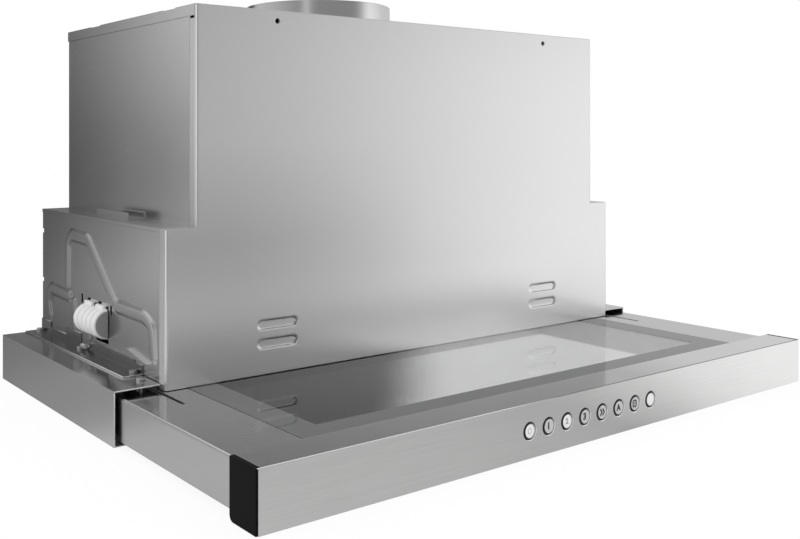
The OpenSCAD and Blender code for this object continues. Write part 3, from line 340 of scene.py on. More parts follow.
def pressed_mesh():
    """Expanded metal of the grease filters: crossed wires with dark gaps."""
    m = Mat("filter_mesh").put(Metallic=1.0)
    waves = []
    for turn in (1, -1):
        spin = m.add("ShaderNodeMapping")
        spin.inputs["Rotation"].default_value = (0, 0, turn * math.radians(34))
        m.link(m.xyz, spin.inputs["Vector"])
        wave = m.add("ShaderNodeTexWave")
        wave.inputs["Scale"].default_value = 95
        wave.inputs["Distortion"].default_value = 0.6
        m.link(spin.outputs["Vector"], wave.inputs["Vector"])
        waves.append(wave.outputs["Fac"])
    top = m.add("ShaderNodeMath", operation="MAXIMUM")
    m.link(waves[0], top.inputs[0])
    m.link(waves[1], top.inputs[1])
    m.tint(top.outputs[0], (0.06, 0.06, 0.06), (0.62, 0.62, 0.63), 0.35, 0.8)
    m.roughen(m.noise(200), 0.3, 0.45)
    return m.relief(top.outputs[0], 0.8, 0.0006).mat


def lit_plastic(name, tone, glow):
    """Pale plastic lit faintly from behind."""
    m = Mat(name)
    fine = m.noise(900)
    m.tint(fine, grey(tone * 0.96), grey(tone))
    m.roughen(fine, 0.22, 0.3)
    m.put(Emission_Color=(1, 1, 1, 1), Emission_Strength=glow)
    return m.relief(fine, 0.1, 0.00004).mat


# front_steel, side_steel, tray_steel and fascia_steel get painted light and shade from low, rear and the share for
# level faces at the left
SHEETS = {
    "front_steel": dict(
        tone=0.78, rough=0.27, along="z", contrast=0.008, edge=0.0009, brush=0.003, metal=0.78, spread=0.004, low=1.22),
    "tray_steel": dict(tone=0.66, rough=0.24, along="y", contrast=0.03, edge=0.0008, brush=0.01, top=0.12, left_level_shade=0.86),
    "fascia_steel": dict(
        tone=0.82, rough=0.24, along="x", contrast=0.05, edge=0.0007, warm=0.004, brush=0.03, top=0.10, left_level_shade=0.68),
    "side_steel": dict(tone=0.68, rough=0.25, contrast=0.03, edge=0.0007, spangle=0.1, brush=0.004, rear=0.5),
    "rail_steel": dict(tone=0.72, rough=0.20, along="y", contrast=0.03, edge=0.0008, brush=0.006, top=0.14),
    "zinc_dark_and_shade": dict(tone=0.36, rough=0.18, along="y", contrast=0.08, edge=0.0004, spangle=0.1, brush=0.01),
    "zinc": dict(tone=0.58, rough=0.34, contrast=0.08, edge=0.0005, spangle=0.3),
    "spigot_steel": dict(tone=0.72, rough=0.20, along="z", contrast=0.03),
    "screw_steel": dict(tone=0.85, rough=0.22, edge=0.0004),
    "motor_steel": dict(tone=0.45, rough=0.40, contrast=0.10),
    "filter_aluminium": dict(tone=0.78, rough=0.30, along="y"),
    "lamp_rim": dict(tone=0.80, rough=0.25, contrast=0.03),
    # The last three are bright finishes for painted highlights
    "polished": dict(tone=0.92, rough=0.12, contrast=0.02, edge=0.0),
    "bend_highlight": dict(tone=0.93, rough=0.35, contrast=0.03, edge=0.0, metal=0.0),
    "bright_edge": dict(tone=0.80, rough=0.35, contrast=0.04, edge=0.0, metal=0.2),
}
MOULDINGS = {
    "capacitor_shell": dict(tone=0.55, rough=0.4),
    "black_plastic": dict(tone=0.007, rough=0.5, grain=1500, contrast=0.2, gloss=0.06),
    "box_plastic": dict(tone=0.55, rough=0.45),
    "white_plastic": dict(tone=0.93, rough=0.36, grain=1200, contrast=0.03, edge=0.0006, depth=0.00003),
    "clamp_grey": dict(tone=0.30, rough=0.4),
    "gasket_rubber": dict(tone=0.02, rough=0.7, grain=900, contrast=0.25),
    "magnet": dict(tone=0.10, rough=0.35),
    "button_rim": dict(tone=0.62, rough=0.28, grain=1500, contrast=0.04, edge=0.0, depth=0.00002),
    "button_face": dict(tone=0.60, rough=0.30, grain=1500, contrast=0.05, edge=0.0, depth=0.00002),
    "mark_dark": dict(tone=0.02, rough=0.5, grain=1500, contrast=0.2, edge=0.0),
    "mark_pale": dict(tone=0.42, rough=0.5, grain=1500, contrast=0.05, edge=0.0),
    "shadow_gap": dict(tone=0.012, rough=0.8, grain=900, contrast=0.3, edge=0.0),
}
M = {name: sheet_metal(name, **values) for name, values in SHEETS.items()}
M |= {name: moulded(name, **values) for name, values in MOULDINGS.items()}
M |= {
    "clamp_white": ribbed_plastic(),
    "fascia_edge": painted_edge_light(),
    "button_lit": lit_plastic("button_lit", 0.80, 0.12),
    "smoked_glass": smoked_glass(),
    "lamp_lens": lens_plastic(),
    "circuit_board": circuit_board(),
    "filter_mesh": pressed_mesh(),
}

# The CAD nodes of each material
DRESS = {
    "front_steel": ["front_panel"],
    "fascia_steel": ["fascia_panel"],
    "tray_steel": ["tray_frame"],
    "side_steel": ["side_panel_left", "side_panel_right", "top_lid"],
    "rail_steel": ["rail_cover_left", "rail_cover_right"],
    "zinc_dark_and_shade": ["rail_bracket_left", "rail_bracket_right"],
    "zinc": [
        "rear_panel", "bottom_plate", "fan_housing", "motor_bracket", "window_frame", "slide_hanger_left",
        "slide_hanger_right", "slide_fixed_left", "slide_fixed_right", "slide_mid_left", "slide_mid_right",
        "slide_tray_left", "slide_tray_right",
    ],
    "spigot_steel": ["duct_spigot"],
    "screw_steel": ["body_screws"],
    "motor_steel": ["fan_motor"],
    "filter_aluminium": ["filter_frame_left", "filter_frame_right"],
    "filter_mesh": ["filter_mesh_left", "filter_mesh_right"],
    "lamp_rim": ["lamp_left", "lamp_right"],
    "lamp_lens": ["lamp_lenses"],
    "capacitor_shell": ["motor_capacitor"],
    "black_plastic": [
        "flap_front", "flap_rear", "fan_impeller", "mains_gland", "tray_switch", "end_cap_left",
        "end_cap_right", "button_housing", "filter_latch_left", "filter_latch_right",
    ],
    "box_plastic": ["control_box"],
    "circuit_board": ["control_board", "button_board"],
    "gasket_rubber": ["glass_gasket"],
    "magnet": ["switch_magnet"],
    "smoked_glass": ["glass_pane"],
    "white_plastic": ["side_clamp_left", "side_clamp_right"],
    "button_rim": [f"button_{i}" for i in range(1, 9)],
}
for key, names in DRESS.items():
    for n in names:
        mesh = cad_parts[n].data
        mesh.materials.clear()
        mesh.materials.append(M[key])


# ---------- mesh helpers ----------

def piece(name, bm, key, body, smooth=True):
    """Make an object from a bmesh in millimetres, dressed, riding a body."""
    bmesh.ops.scale(bm, vec=(MM, MM, MM), verts=bm.verts)
    mesh = bpy.data.meshes.new(name)
    bm.to_mesh(mesh)
    bm.free()
    mesh.materials.append(M[key])
    for p in mesh.polygons:
        p.use_smooth = smooth
    obj = bpy.data.objects.new(name, mesh)
    bpy.context.scene.collection.objects.link(obj)
    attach(obj, body)
    return obj


def box_into(bm, lo, hi, bevel=0.0, segments=2):
    """A box between two corners with rounded edges."""
    lo, hi = Vector(lo), Vector(hi)
    made = bmesh.ops.create_cube(bm, size=1.0)["verts"]
    for v in made:
        v.co = Vector([(lo[i] + hi[i]) / 2 + v.co[i] * (hi[i] - lo[i]) for i in range(3)])
    if bevel:
        edges = {e for v in made for e in v.link_edges}
        bmesh.ops.bevel(bm, geom=list(edges), offset=bevel, segments=segments, profile=0.5, affect="EDGES")


def side_box(bm, side, x, y, z, bevel, segments=2):
    """A box on one side of the hood from pairs of limits, where x runs outwards from the middle."""
    x0, x1 = sorted(side * v for v in x)
    box_into(bm, (x0, y[0], z[0]), (x1, y[1], z[1]), bevel, segments)


def face_towards(bm, axis, way):
    """Make a skin's faces agree and look along an axis, forwards or backwards."""
    bmesh.ops.recalc_face_normals(bm, faces=bm.faces)
    if bm.faces[:][0].normal[axis] * way < 0:
        bmesh.ops.reverse_faces(bm, faces=bm.faces)


def turned(bm, profile, centre, axis="y", n=48):
    """Turn a profile of (radius, position along the axis) about an axis through centre."""
    rings = []
    for r, h in profile:
        if r < 1e-6:
            rings.append([bm.verts.new(along_axis(centre, axis, 0, 0, h))])
        else:
            rings.append([
                bm.verts.new(along_axis(centre, axis, r * math.cos(t), r * math.sin(t), h))
                for t in (2 * math.pi * i / n for i in range(n))
            ])
    for a, b in zip(rings, rings[1:]):
        for i in range(n):
            j = (i + 1) % n
            if len(a) == 1:
                bm.faces.new([a[0], b[i], b[j]])
            elif len(b) == 1:
                bm.faces.new([a[i], a[j], b[0]])
            else:
                bm.faces.new([a[i], a[j], b[j], b[i]])
    bmesh.ops.recalc_face_normals(bm, faces=bm.faces)


def along_axis(centre, axis, u, v, h):
    """The point h along an axis from the centre, and u and v across it."""
    x, y, z = centre
    return {"x": (x + h, y + u, z + v), "y": (x + u, y + h, z + v), "z": (x + u, y + v, z + h)}[axis]


def path_distance(u, v, pts):
    """Distance from grid points to a polyline."""
    best = np.full(u.shape, 1e9)
    for (a0, a1), (b0, b1) in zip(pts, pts[1:]):
        dx, dy = b0 - a0, b1 - a1
        t = np.clip(((u - a0) * dx + (v - a1) * dy) / (dx * dx + dy * dy), 0, 1)
        best = np.minimum(best, np.hypot(u - a0 - t * dx, v - a1 - t * dy))
    return best


def relief_sheet(bm, pts, reach, step, height, place):
    """A skin over a grid round a path: height(distance) places each point with place(u, v, h)."""
    us = np.arange(min(p[0] for p in pts) - reach - step, max(p[0] for p in pts) + reach + 2 * step, step)
    vs = np.arange(min(p[1] for p in pts) - reach - step, max(p[1] for p in pts) + reach + 2 * step, step)
    u, v = np.meshgrid(us, vs, indexing="ij")
    d = path_distance(u, v, pts)
    h = height(d)
    for _ in range(2):
        h[1:-1, 1:-1] = (h[1:-1, 1:-1] * 4 + h[:-2, 1:-1] + h[2:, 1:-1] + h[1:-1, :-2] + h[1:-1, 2:]) / 8
    keep = d < reach + 1.5 * step
    verts = {}
    for i, j in zip(*np.nonzero(keep)):
        verts[i, j] = bm.verts.new(place(u[i, j], v[i, j], h[i, j]))
    for i, j in list(verts):
        quad = [(i, j), (i + 1, j), (i + 1, j + 1), (i, j + 1)]
        if all(q in verts for q in quad) and any(d[q] < reach for q in quad):
            bm.faces.new([verts[q] for q in quad])


# ---------- side sheets: soft pressed beads ----------

def bead_height(d):
    """The rise of a bead at a distance from its middle line."""
    return np.interp(d, [0, 3.6, 4.2, 4.9, 5.6, 6.2], [2.05, 2.0, 1.8, 0.9, 0.1, -0.08])


def soften(pts, reach):
    """The same path with its corners rounded off within reach."""
    out = [pts[0]]
    for a, b, c in zip(pts, pts[1:], pts[2:]):
        ends = []
        for p in (a, c):
            n = math.hypot(p[0] - b[0], p[1] - b[1])
            k = min(reach, n * 0.5) / n
            ends.append((b[0] + (p[0] - b[0]) * k, b[1] + (p[1] - b[1]) * k))
        for t in (0, 0.25, 0.5, 0.75, 1):
            out.append(tuple(
                (1 - t) ** 2 * ends[0][i] + 2 * t * (1 - t) * b[i] + t * t * ends[1][i] for i in range(2)
            ))
    return out + [pts[-1]]


for side, label in SIDES:
    for k, path in enumerate(BEADS):
        bm = bmesh.new()
        pts = soften([(BODY_Y + u, z) for u, z in path], 5.0)
        relief_sheet(bm, pts, 6.2, 0.85, bead_height, lambda u, v, h: (side * (WALL_X + h), u, v))
        face_towards(bm, 0, side)
        piece(f"side_bead_{label}_{k + 1}", bm, "side_steel", "hood_body")


# ---------- front sheet: soft pressed louvres ----------

def louvre_depth(d):
    """How far a louvre lies below the sheet at a distance from its middle line."""
    return np.interp(d, [0, 3.2, 3.7, 4.1, 4.5, 4.9], [0.55, 0.52, 0.3, 0.06, -0.03, -0.04])


RIM_STEPS, STRIP_RISE = 28, 0.06


def strip(bm, pts, widths, y, rise):
    """A narrow ridged strip along points (x, z) on a face that looks to the front."""
    rows = []
    for k, (x, z) in enumerate(pts):
        ax, az = pts[max(k - 1, 0)]
        bx, bz = pts[min(k + 1, len(pts) - 1)]
        n = math.hypot(bx - ax, bz - az)
        nx, nz = -(bz - az) / n, (bx - ax) / n
        w = widths[k]
        rows.append([
            bm.verts.new((x + nx * w * t, y - rise * (1 - t * t), z + nz * w * t)) for t in (-1, -0.5, 0, 0.5, 1)
        ])
    for a, b in zip(rows, rows[1:]):
        for j in range(4):
            bm.faces.new([a[j], a[j + 1], b[j + 1], b[j]])
    face_towards(bm, 1, -1)


def louvre_edge(cx, cz, r, t0, t1, n):
    """Points along the rim of a louvre: t goes once round from the foot of the right end, 0 to 4."""
    pts = []
    for k in range(n + 1):
        t = t0 + (t1 - t0) * k / n
        if t <= 1 or t1 < 1.5:
            a = math.pi * (t - 0.5)
            pts.append((cx + LOUVRE_HALF + r * math.cos(a), cz + r * math.sin(a)))
        elif t <= 2:
            pts.append((cx + LOUVRE_HALF - 2 * LOUVRE_HALF * (t - 1), cz + r))
        elif t <= 3:
            a = math.pi * (t - 1.5)
            pts.append((cx - LOUVRE_HALF + r * math.cos(a), cz + r * math.sin(a)))
        else:
            pts.append((cx - LOUVRE_HALF + 2 * LOUVRE_HALF * (t - 3), cz - r))
    return pts


def taper(n, w):
    """Half widths of a strip that narrows at both ends."""
    return [w * min(1.0, 0.12 + 6 * k / n, 0.12 + 6 * (n - k) / n) for k in range(n + 1)]


for side, label in SIDES:
    for k in (0, 1):
        x, z = side * LOUVRE_X, LOUVRE_Z + k * LOUVRE_PITCH
        bm = bmesh.new()
        spine = [(x - LOUVRE_HALF, z), (x + LOUVRE_HALF, z)]
        relief_sheet(bm, spine, 4.9, 0.5, louvre_depth, lambda u, v, h: (u, BODY_Y + h, v))
        face_towards(bm, 1, -1)
        piece(f"louvre_pan_{label}_{k + 1}", bm, "front_steel", "hood_body")
        # Painted shadow under the lip above, a painted shade line along the lower edge, a painted highlight at the left
        # end and a painted shade ring at the right end
        for part, r, t0, t1, w, key in (
            ("slit", 3.55, 0.62, 1.93, 0.30, "shadow_gap"), ("sill_shade", 3.6, 2.95, 4.0, 0.30, "zinc_dark_and_shade"),
            ("glint", 3.9, 2.45, 3.02, 0.28, "polished"), ("end_shade", 2.75, -0.1, 1.1, 0.55, "zinc_dark_and_shade"),
        ):
            bm = bmesh.new()
            depth = 0.12 if part == "glint" else 0.32
            strip(bm, louvre_edge(x, z, r, t0, t1, RIM_STEPS), taper(RIM_STEPS, w), BODY_Y + depth, STRIP_RISE)
            piece(f"louvre_{part}_{label}_{k + 1}", bm, key, "hood_body")
        # A small bright dome in the right end, a painted highlight
        bm = bmesh.new()
        turned(bm, [(0, 0.1), (0.7, 0.15), (0.95, 0.3), (1.0, 0.5)], (x + LOUVRE_HALF + 1.1, BODY_Y, z), "y", 24)
        piece(f"louvre_end_highlight_{label}_{k + 1}", bm, "polished", "hood_body")


# ---------- side clamps ----------

# Steps along the clamp and round its half circle
CLAMP_STEPS, HALF_STEPS = 80, 28


def clamp_radius(y):
    """The cover's radius along its length, with a groove between two ribs."""
    q = 2 * ((y * CLAMP_RIBS / CLAMP_L) % 1.0) - 1
    return CLAMP_R - 3.0 * abs(q) ** 5


def half_circle(r):
    """Points across and up round a half circle that bulges outwards."""
    angles = [math.pi * (j / HALF_STEPS - 0.5) for j in range(HALF_STEPS + 1)]
    return [(r * math.cos(t), r * math.sin(t)) for t in angles]


def clamp_cover(side):
    """The ribbed white cover with its two hooks."""
    bm = bmesh.new()
    rings = []
    for i in range(CLAMP_STEPS + 1):
        y = CLAMP_L * i / CLAMP_STEPS
        ring = []
        for j, (u, v) in enumerate(half_circle(clamp_radius(min(y, CLAMP_L - 1e-6)))):
            flat = 0.9 if j in (0, HALF_STEPS) else 1.0
            ring.append(bm.verts.new((side * (CLAMP_X + u * flat), CLAMP_Y + y, CLAMP_Z + v)))
        rings.append(ring)
    for a, b in zip(rings, rings[1:]):
        for j in range(HALF_STEPS):
            bm.faces.new([a[j], a[j + 1], b[j + 1], b[j]])
        bm.faces.new([a[-1], a[0], b[0], b[-1]])
    bm.faces.new(rings[0])
    bm.faces.new(rings[-1])
    # Each hook: a tab outside the sheet, its tongue through the slot, and the tip behind
    for at in HOOK_AT:
        y0, y1 = CLAMP_Y + at - HOOK_HALF, CLAMP_Y + at + HOOK_HALF
        side_box(bm, side, (CLAMP_X + 3.6, CLAMP_X), (y0, y1), (CLAMP_Z + 9, HOOK_Z + 0.9), 0.7, 3)
        tongue = (y0 + 1, y1 - 1)
        side_box(bm, side, (CLAMP_X + 3.2, WALL_X - 2.3), tongue, (HOOK_Z - 0.6, HOOK_Z + 0.6), 0.3)
        side_box(bm, side, (WALL_X - 2.4, WALL_X - 1.5), tongue, (HOOK_Z - 0.6, HOOK_Z + 1.9), 0.25)
    bmesh.ops.recalc_face_normals(bm, faces=bm.faces)
    return bm


def clamp_cheek(side):
    """The dark end cheek and its three small teeth."""
    bm = bmesh.new()
    outline = [(side * (CLAMP_X + u), CLAMP_Z + v) for u, v in half_circle(CLAMP_R - 1.9)]
    near = [bm.verts.new((x, CLAMP_Y - 0.35, z)) for x, z in outline]
    far = [bm.verts.new((x, CLAMP_Y + 0.3, z)) for x, z in outline]
    bm.faces.new(near)
    bm.faces.new(far)
    for j in range(len(outline)):
        k = (j + 1) % len(outline)
        bm.faces.new([near[j], near[k], far[k], far[j]])
    for dz in (-5.5, 0.5, 6.0):
        z = CLAMP_Z + dz
        side_box(bm, side, (CLAMP_X + 2.6, CLAMP_X + 0.1), (CLAMP_Y - 0.8, CLAMP_Y - 0.2), (z, z + 0.9), 0.15, 1)
    bmesh.ops.recalc_face_normals(bm, faces=bm.faces)
    return bm


for side, label in SIDES:
    cover = piece(f"clamp_cover_{label}", clamp_cover(side), "clamp_white", f"clamp_{label}")
    cover.data.set_sharp_from_angle(angle=math.radians(50))
    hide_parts(f"side_clamp_{label}")
    cheek = piece(f"clamp_cheek_{label}", clamp_cheek(side), "clamp_grey", f"clamp_{label}")
    cheek.data.set_sharp_from_angle(angle=math.radians(40))


# ---------- small coil springs at the rail brackets ----------

def coil(name, centre, axis, radius, wire, turns, length, body):
    """A coil spring of round wire about an axis through centre."""
    curve = bpy.data.curves.new(name, "CURVE")
    curve.dimensions = "3D"
    curve.bevel_depth = wire * MM
    curve.bevel_resolution = 3
    spline = curve.splines.new("POLY")
    steps = turns * 18
    spline.points.add(steps)
    for i in range(steps + 1):
        t = 2 * math.pi * i / 18
        h = length * (i / steps - 0.5)
        p = along_axis(centre, axis, radius * math.cos(t), radius * math.sin(t), h)
        spline.points[i].co = (p[0] * MM, p[1] * MM, p[2] * MM, 1)
    curve.materials.append(M["screw_steel"])
    obj = bpy.data.objects.new(name, curve)
    bpy.context.scene.collection.objects.link(obj)
    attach(obj, body)
    return obj


for side, label in SIDES:
    centre = (side * (WALL_X + 4.6), BRACKET_Y + 107.5, RAIL_H + 4.6)
    coil(f"bracket_spring_{label}", centre, "y", 1.7, 0.35, 7, 9, "hood_body")


# ---------- painted highlights along the edges of the rail brackets ---

# Start, end and height of each length of the upstand
UPSTAND = [(0, 15, 7.8), (15, 104, 10.6), (104, 124, 3.8), (124, 158, 12.6), (158, 197, 6.2), (197, 220.5, 11.6)]
for side, label in SIDES:
    bm = bmesh.new()
    for a, b, h in UPSTAND:
        z = RAIL_H + h
        side_box(bm, side, (WALL_X + 1.05, WALL_X + 0.1), (BRACKET_Y + a, BRACKET_Y + b), (z - 0.1, z + 0.3), 0.12)
    lip = (RAIL_H + 0.1, RAIL_H + 1.35)
    side_box(bm, side, (BRACKET_X, BRACKET_X - 0.8), (BRACKET_Y - 0.1, BACK_Y), lip, 0.25, 3)
    side_box(bm, side, (BRACKET_X, WALL_X + 0.2), (BRACKET_Y - 0.2, BRACKET_Y + 0.5), lip, 0.25, 3)
    piece(f"bracket_edge_{label}", bm, "screw_steel", "hood_body")


# ---------- painted highlights along the front sheet's bends and the rail covers' ends ---

# The middle of a bend lies this far inside both faces, and its painted highlight line has this radius
BEND_IN, LINE_R = 0.73, 0.36
for side, label in SIDES:
    bm = bmesh.new()
    for x, z0, z1 in ((LOW_X, RAIL_H, STEP_Z - 0.8), (UP_X, STEP_Z + 0.6, BODY_H - 0.8)):
        profile = [(0, z0), (LINE_R, z0 + 0.3), (LINE_R, z1 - 0.3), (0, z1)]
        turned(bm, profile, (side * (x - BEND_IN), BODY_Y + BEND_IN, 0), "z", 12)
    piece(f"front_bend_{label}", bm, "bend_highlight", "hood_body")
    bm = bmesh.new()
    for inner, foot in ((HALF_W - 0.7, 0.3), (LOW_X + 1, RAIL_H - 0.7)):
        side_box(bm, side, (inner, HALF_W), (RAIL_Y - 0.3, RAIL_Y), (foot, RAIL_H), 0.1)
    piece(f"rail_edge_{label}", bm, "bright_edge", "hood_body")


# ---------- painted highlight and painted shade on the fascia's top edge ---

bm = bmesh.new()
box_into(bm, (0.6 - HALF_W, FRONT_Y, FASCIA_H - 0.1), (HALF_W - 0.6, FRONT_Y + 0.7, FASCIA_H + 0.25), 0.12, 2)
piece("fascia_edge", bm, "fascia_edge", "tray")


# ---------- dark strips of painted shade in the tray's slits ---

SHADE_T, SHADE_LOW, SHADE_FOOT, SHADE_TOP = 0.6, 30.5, 34.3, 36.3
for side, label in SIDES:
    bm = bmesh.new()
    # The outer edge clears the drawer slide below it
    for edge, foot in ((-1, SHADE_LOW), (1, SHADE_FOOT)):
        x = (SLIT_X + edge * (SLIT_HALF - SHADE_T), SLIT_X + edge * SLIT_HALF)
        side_box(bm, side, x, (SLIT_Y, TRAY_BACK), (foot, SHADE_TOP), 0.2)
    x = (SLIT_X - SLIT_HALF, SLIT_X + SLIT_HALF)
    side_box(bm, side, x, (SLIT_Y - SHADE_T, SLIT_Y), (SHADE_FOOT, SHADE_TOP), 0.2)
    piece(f"slit_guard_{label}", bm, "gasket_rubber", "tray", False)


# ---------- buttons ----------

def flat_shape(bm, loops, y, thickness=0.05):
    """Thin prisms from outlines of (x, z)."""
    for loop in loops:
        front = [bm.verts.new((x, y, z)) for x, z in loop]
        rear = [bm.verts.new((x, y + thickness, z)) for x, z in loop]
        bm.faces.new(front)
        bm.faces.new(rear[::-1])
        for i in range(len(loop)):
            j = (i + 1) % len(loop)
            bm.faces.new([front[i], rear[i], rear[j], front[j]])
    bmesh.ops.recalc_face_normals(bm, faces=bm.faces)


def ring_shape(bm, cx, cz, rx, rz, w, y, power=2.0, n=40, thickness=0.05):
    """A flat ring, round or with squared shoulders."""
    def point(t, shrink):
        c, s = math.cos(t), math.sin(t)
        k = (abs(c) ** power + abs(s) ** power) ** (-1 / power)
        return cx + (rx - shrink) * c * k, cz + (rz - shrink) * s * k
    rows = []
    for shrink, dy in ((0, 0), (w, 0), (w, thickness), (0, thickness)):
        corners = [point(2 * math.pi * i / n, shrink) for i in range(n)]
        rows.append([bm.verts.new((px, y + dy, pz)) for px, pz in corners])
    for a in range(4):
        b = (a + 1) % 4
        for i in range(n):
            j = (i + 1) % n
            bm.faces.new([rows[a][i], rows[a][j], rows[b][j], rows[b][i]])
    bmesh.ops.recalc_face_normals(bm, faces=bm.faces)


def glyph(name, letters, x, z, size, y, key, body):
    """A digit or letter as a thin raised mesh."""
    curve = bpy.data.curves.new(name + "_font", "FONT")
    curve.body = letters
    curve.size = size * MM
    curve.align_x = "CENTER"
    curve.align_y = "CENTER"
    curve.extrude = 0.02 * MM
    curve.offset = 0.30 * MM
    temp = bpy.data.objects.new(name + "_font", curve)
    bpy.context.scene.collection.objects.link(temp)
    bpy.context.view_layer.update()
    mesh = bpy.data.meshes.new_from_object(temp.evaluated_get(bpy.context.evaluated_depsgraph_get()))
    bpy.data.objects.remove(temp)
    mesh.transform(Matrix.Translation((x * MM, y * MM, z * MM)) @ Matrix.Rotation(math.pi / 2, 4, "X"))
    mesh.name = name
    mesh.materials.clear()
    mesh.materials.append(M[key])
    obj = bpy.data.objects.new(name, mesh)
    bpy.context.scene.collection.objects.link(obj)
    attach(obj, body)
    return obj


def chevrons(x, z):
    """Two arrowheads that point right, each from an upper and a lower bar."""
    loops = []
    tip, h, w = 1.7, 2.6, 1.5
    for dx in (-2.5, 0.2):
        loops.append([(x + dx, z + h), (x + dx + w, z + h), (x + dx + w + tip, z), (x + dx + tip, z)])
        loops.append([(x + dx + tip, z), (x + dx + w + tip, z), (x + dx + w, z - h), (x + dx, z - h)])
    return loops


# Buttons whose face is lit, and the symbol, size and material of those that carry a digit or letter
LIT = (1, 3, 8)
GLYPHS = {
    2: ("1", 6.8, "mark_dark"), 3: ("2", 5.6, "mark_pale"), 4: ("3", 6.6, "mark_dark"), 6: ("A", 6.4, "mark_dark"),
}
RIM_PROFILE = [(5.55, 0.3), (5.55, -0.02), (5.4, -0.16), (5.1, -0.22), (4.75, -0.16), (4.5, -0.02)]
FACE_PROFILE = [(4.6, 0.0), (4.3, -0.10), (3.0, -0.07), (0, -0.04)]


def symbol(i, x, y, body):
    """The symbol of a button, if it has one."""
    if i in GLYPHS:
        letters, size, key = GLYPHS[i]
        glyph(f"mark_{i}", letters, x, BUTTON_Z, size, y + 0.03, key, body)
        return
    bm = bmesh.new()
    if i == 1:
        ring_shape(bm, x, BUTTON_Z, 1.9, 2.1, 0.45, y)
    elif i == 5:
        flat_shape(bm, chevrons(x, BUTTON_Z), y)
    elif i == 7:
        ring_shape(bm, x, BUTTON_Z, 2.6, 3.0, 1.0, y, 3.0)
        bars = [(BUTTON_Z + dz, BUTTON_Z + dz + 0.35) for dz in (-1.2, -0.2, 0.8)]
        flat_shape(bm, [[(x - 1.1, z0), (x + 1.1, z0), (x + 1.1, z1), (x - 1.1, z1)] for z0, z1 in bars], y)
    if not bm.verts:
        bm.free()
        return
    piece(f"mark_{i}", bm, "mark_pale" if i in LIT else "mark_dark", body, False)


def hole_edge(i, x):
    """The dark gap round a button, widened with painted shadow on the shaded side, and a painted highlight on the
    hole's bevel opposite.
    """
    bm = bmesh.new()
    n = 48
    rows = []
    for k in range(n + 1):
        t = 2 * math.pi * k / n
        shade = 0.5 - 0.5 * math.cos(t + 0.2)
        reach = BUTTON_GAP_R + 1.12 * shade
        rings = ((5.1, 0.52, FRONT_Y + 0.05), (reach, 0, FRONT_Y + 0.04), (reach + 0.1, 0, FRONT_Y + 0.16))
        rows.append([bm.verts.new((x + q * math.cos(t) + dx, y, BUTTON_Z + q * math.sin(t))) for q, dx, y in rings])
    for a, b in zip(rows, rows[1:]):
        for j in range(2):
            bm.faces.new([a[j], a[j + 1], b[j + 1], b[j]])
    bmesh.ops.recalc_face_normals(bm, faces=bm.faces)
    piece(f"button_gap_shadow_{i}", bm, "shadow_gap", "tray")
    # A painted highlight on the hole's bevel at the lower right
    bm = bmesh.new()
    n = 24
    angles = [math.radians(-118 + 140 * k / n) for k in range(n + 1)]
    arc = [(x + BUTTON_HOLE_R * math.cos(t), BUTTON_Z + BUTTON_HOLE_R * math.sin(t)) for t in angles]
    strip(bm, arc, taper(n, 0.33), FRONT_Y + 0.1, STRIP_RISE)
    piece(f"button_bevel_highlight_{i}", bm, "white_plastic", "tray")


for i in range(1, 9):
    x = (i - 4.5) * BUTTON_PITCH
    body = f"push_button_{i}"
    face_y = FRONT_Y + 0.3
    for part, profile, key in (
        ("rim", RIM_PROFILE, "button_rim"), ("face", FACE_PROFILE, "button_lit" if i in LIT else "button_face"),
    ):
        bm = bmesh.new()
        turned(bm, profile, (x, face_y, BUTTON_Z), "y", 56)
        piece(f"button_{part}_{i}", bm, key, body)
    symbol(i, x, face_y - 0.14, body)
    hole_edge(i, x)


# ---------- studio ----------

# Brightness of the studio round the object, by direction: degrees from the front to the right
STUDIO = [
    (-180, 0.08), (-162, 0.10), (-159, 0.16), (-157, 0.26), (-155, 0.42), (-152, 0.56), (-138, 0.60), (-115, 0.60),
    (-90, 0.48), (-66, 0.34), (-60, 0.5), (-54, 0.95), (-48, 0.5), (-40, 0.30), (20, 0.30), (29, 0.36), (36, 0.55),
    (43, 0.90), (51, 1.22), (62, 1.28), (85, 1.0), (105, 0.8), (128, 0.65), (150, 0.4), (168, 0.18), (180, 0.08),
]
# The same a little above the horizon, higher up and overhead
ABOVE = [
    (-180, 0.06), (-162, 0.08), (-159, 0.15), (-157, 0.28), (-155, 0.48), (-152, 0.66), (-138, 0.68), (-115, 0.60),
    (-90, 0.48), (-66, 0.34), (-60, 0.5), (-54, 0.95), (-48, 0.5), (-40, 0.30), (20, 0.32), (29, 0.42), (36, 0.63),
    (43, 0.98), (51, 1.22), (62, 1.1), (85, 0.8), (105, 0.7), (128, 0.65), (150, 0.4), (168, 0.18), (180, 0.06),
]
UPPER = [
    (-180, 0.06), (-165, 0.12), (-150, 0.38), (-115, 0.40), (-60, 0.25), (20, 0.16), (36, 0.20),
    (50, 0.3), (62, 0.25), (85, 0.25), (105, 0.75), (128, 0.6), (142, 0.12), (180, 0.06),
]
ZENITH = [
    (-180, 1.0), (-150, 0.9), (-120, 0.7), (-60, 0.5), (20, 0.5), (50, 0.9), (66, 0.9), (74, 0.25),
    (100, 0.3), (140, 0.2), (165, 0.5), (180, 1.0),
]
# The same for places on the floor near the hood and far from it
FLOOR = [
    (-180, 0.08), (-150, 0.08), (-141, 0.12), (-131, 0.18), (-120, 0.26), (-105, 0.30), (-97, 0.36),
    (-88, 0.52), (-70, 0.55), (-45, 0.52), (0, 0.45), (12, 0.40), (27, 0.60), (40, 0.88),
    (50, 1.0), (85, 0.95), (120, 0.6), (150, 0.3), (180, 0.08),
]
FAR = [
    (-180, 0.08), (-157, 0.08), (-151, 0.18), (-145, 0.36), (-139, 0.52), (-115, 0.60), (-90, 0.48),
    (-66, 0.34), (-20, 0.30), (20, 0.30), (29, 0.36), (36, 0.55), (43, 0.90), (51, 1.15), (62, 1.2),
    (85, 1.0), (105, 0.8), (128, 0.65), (150, 0.4), (168, 0.18), (180, 0.08),
]


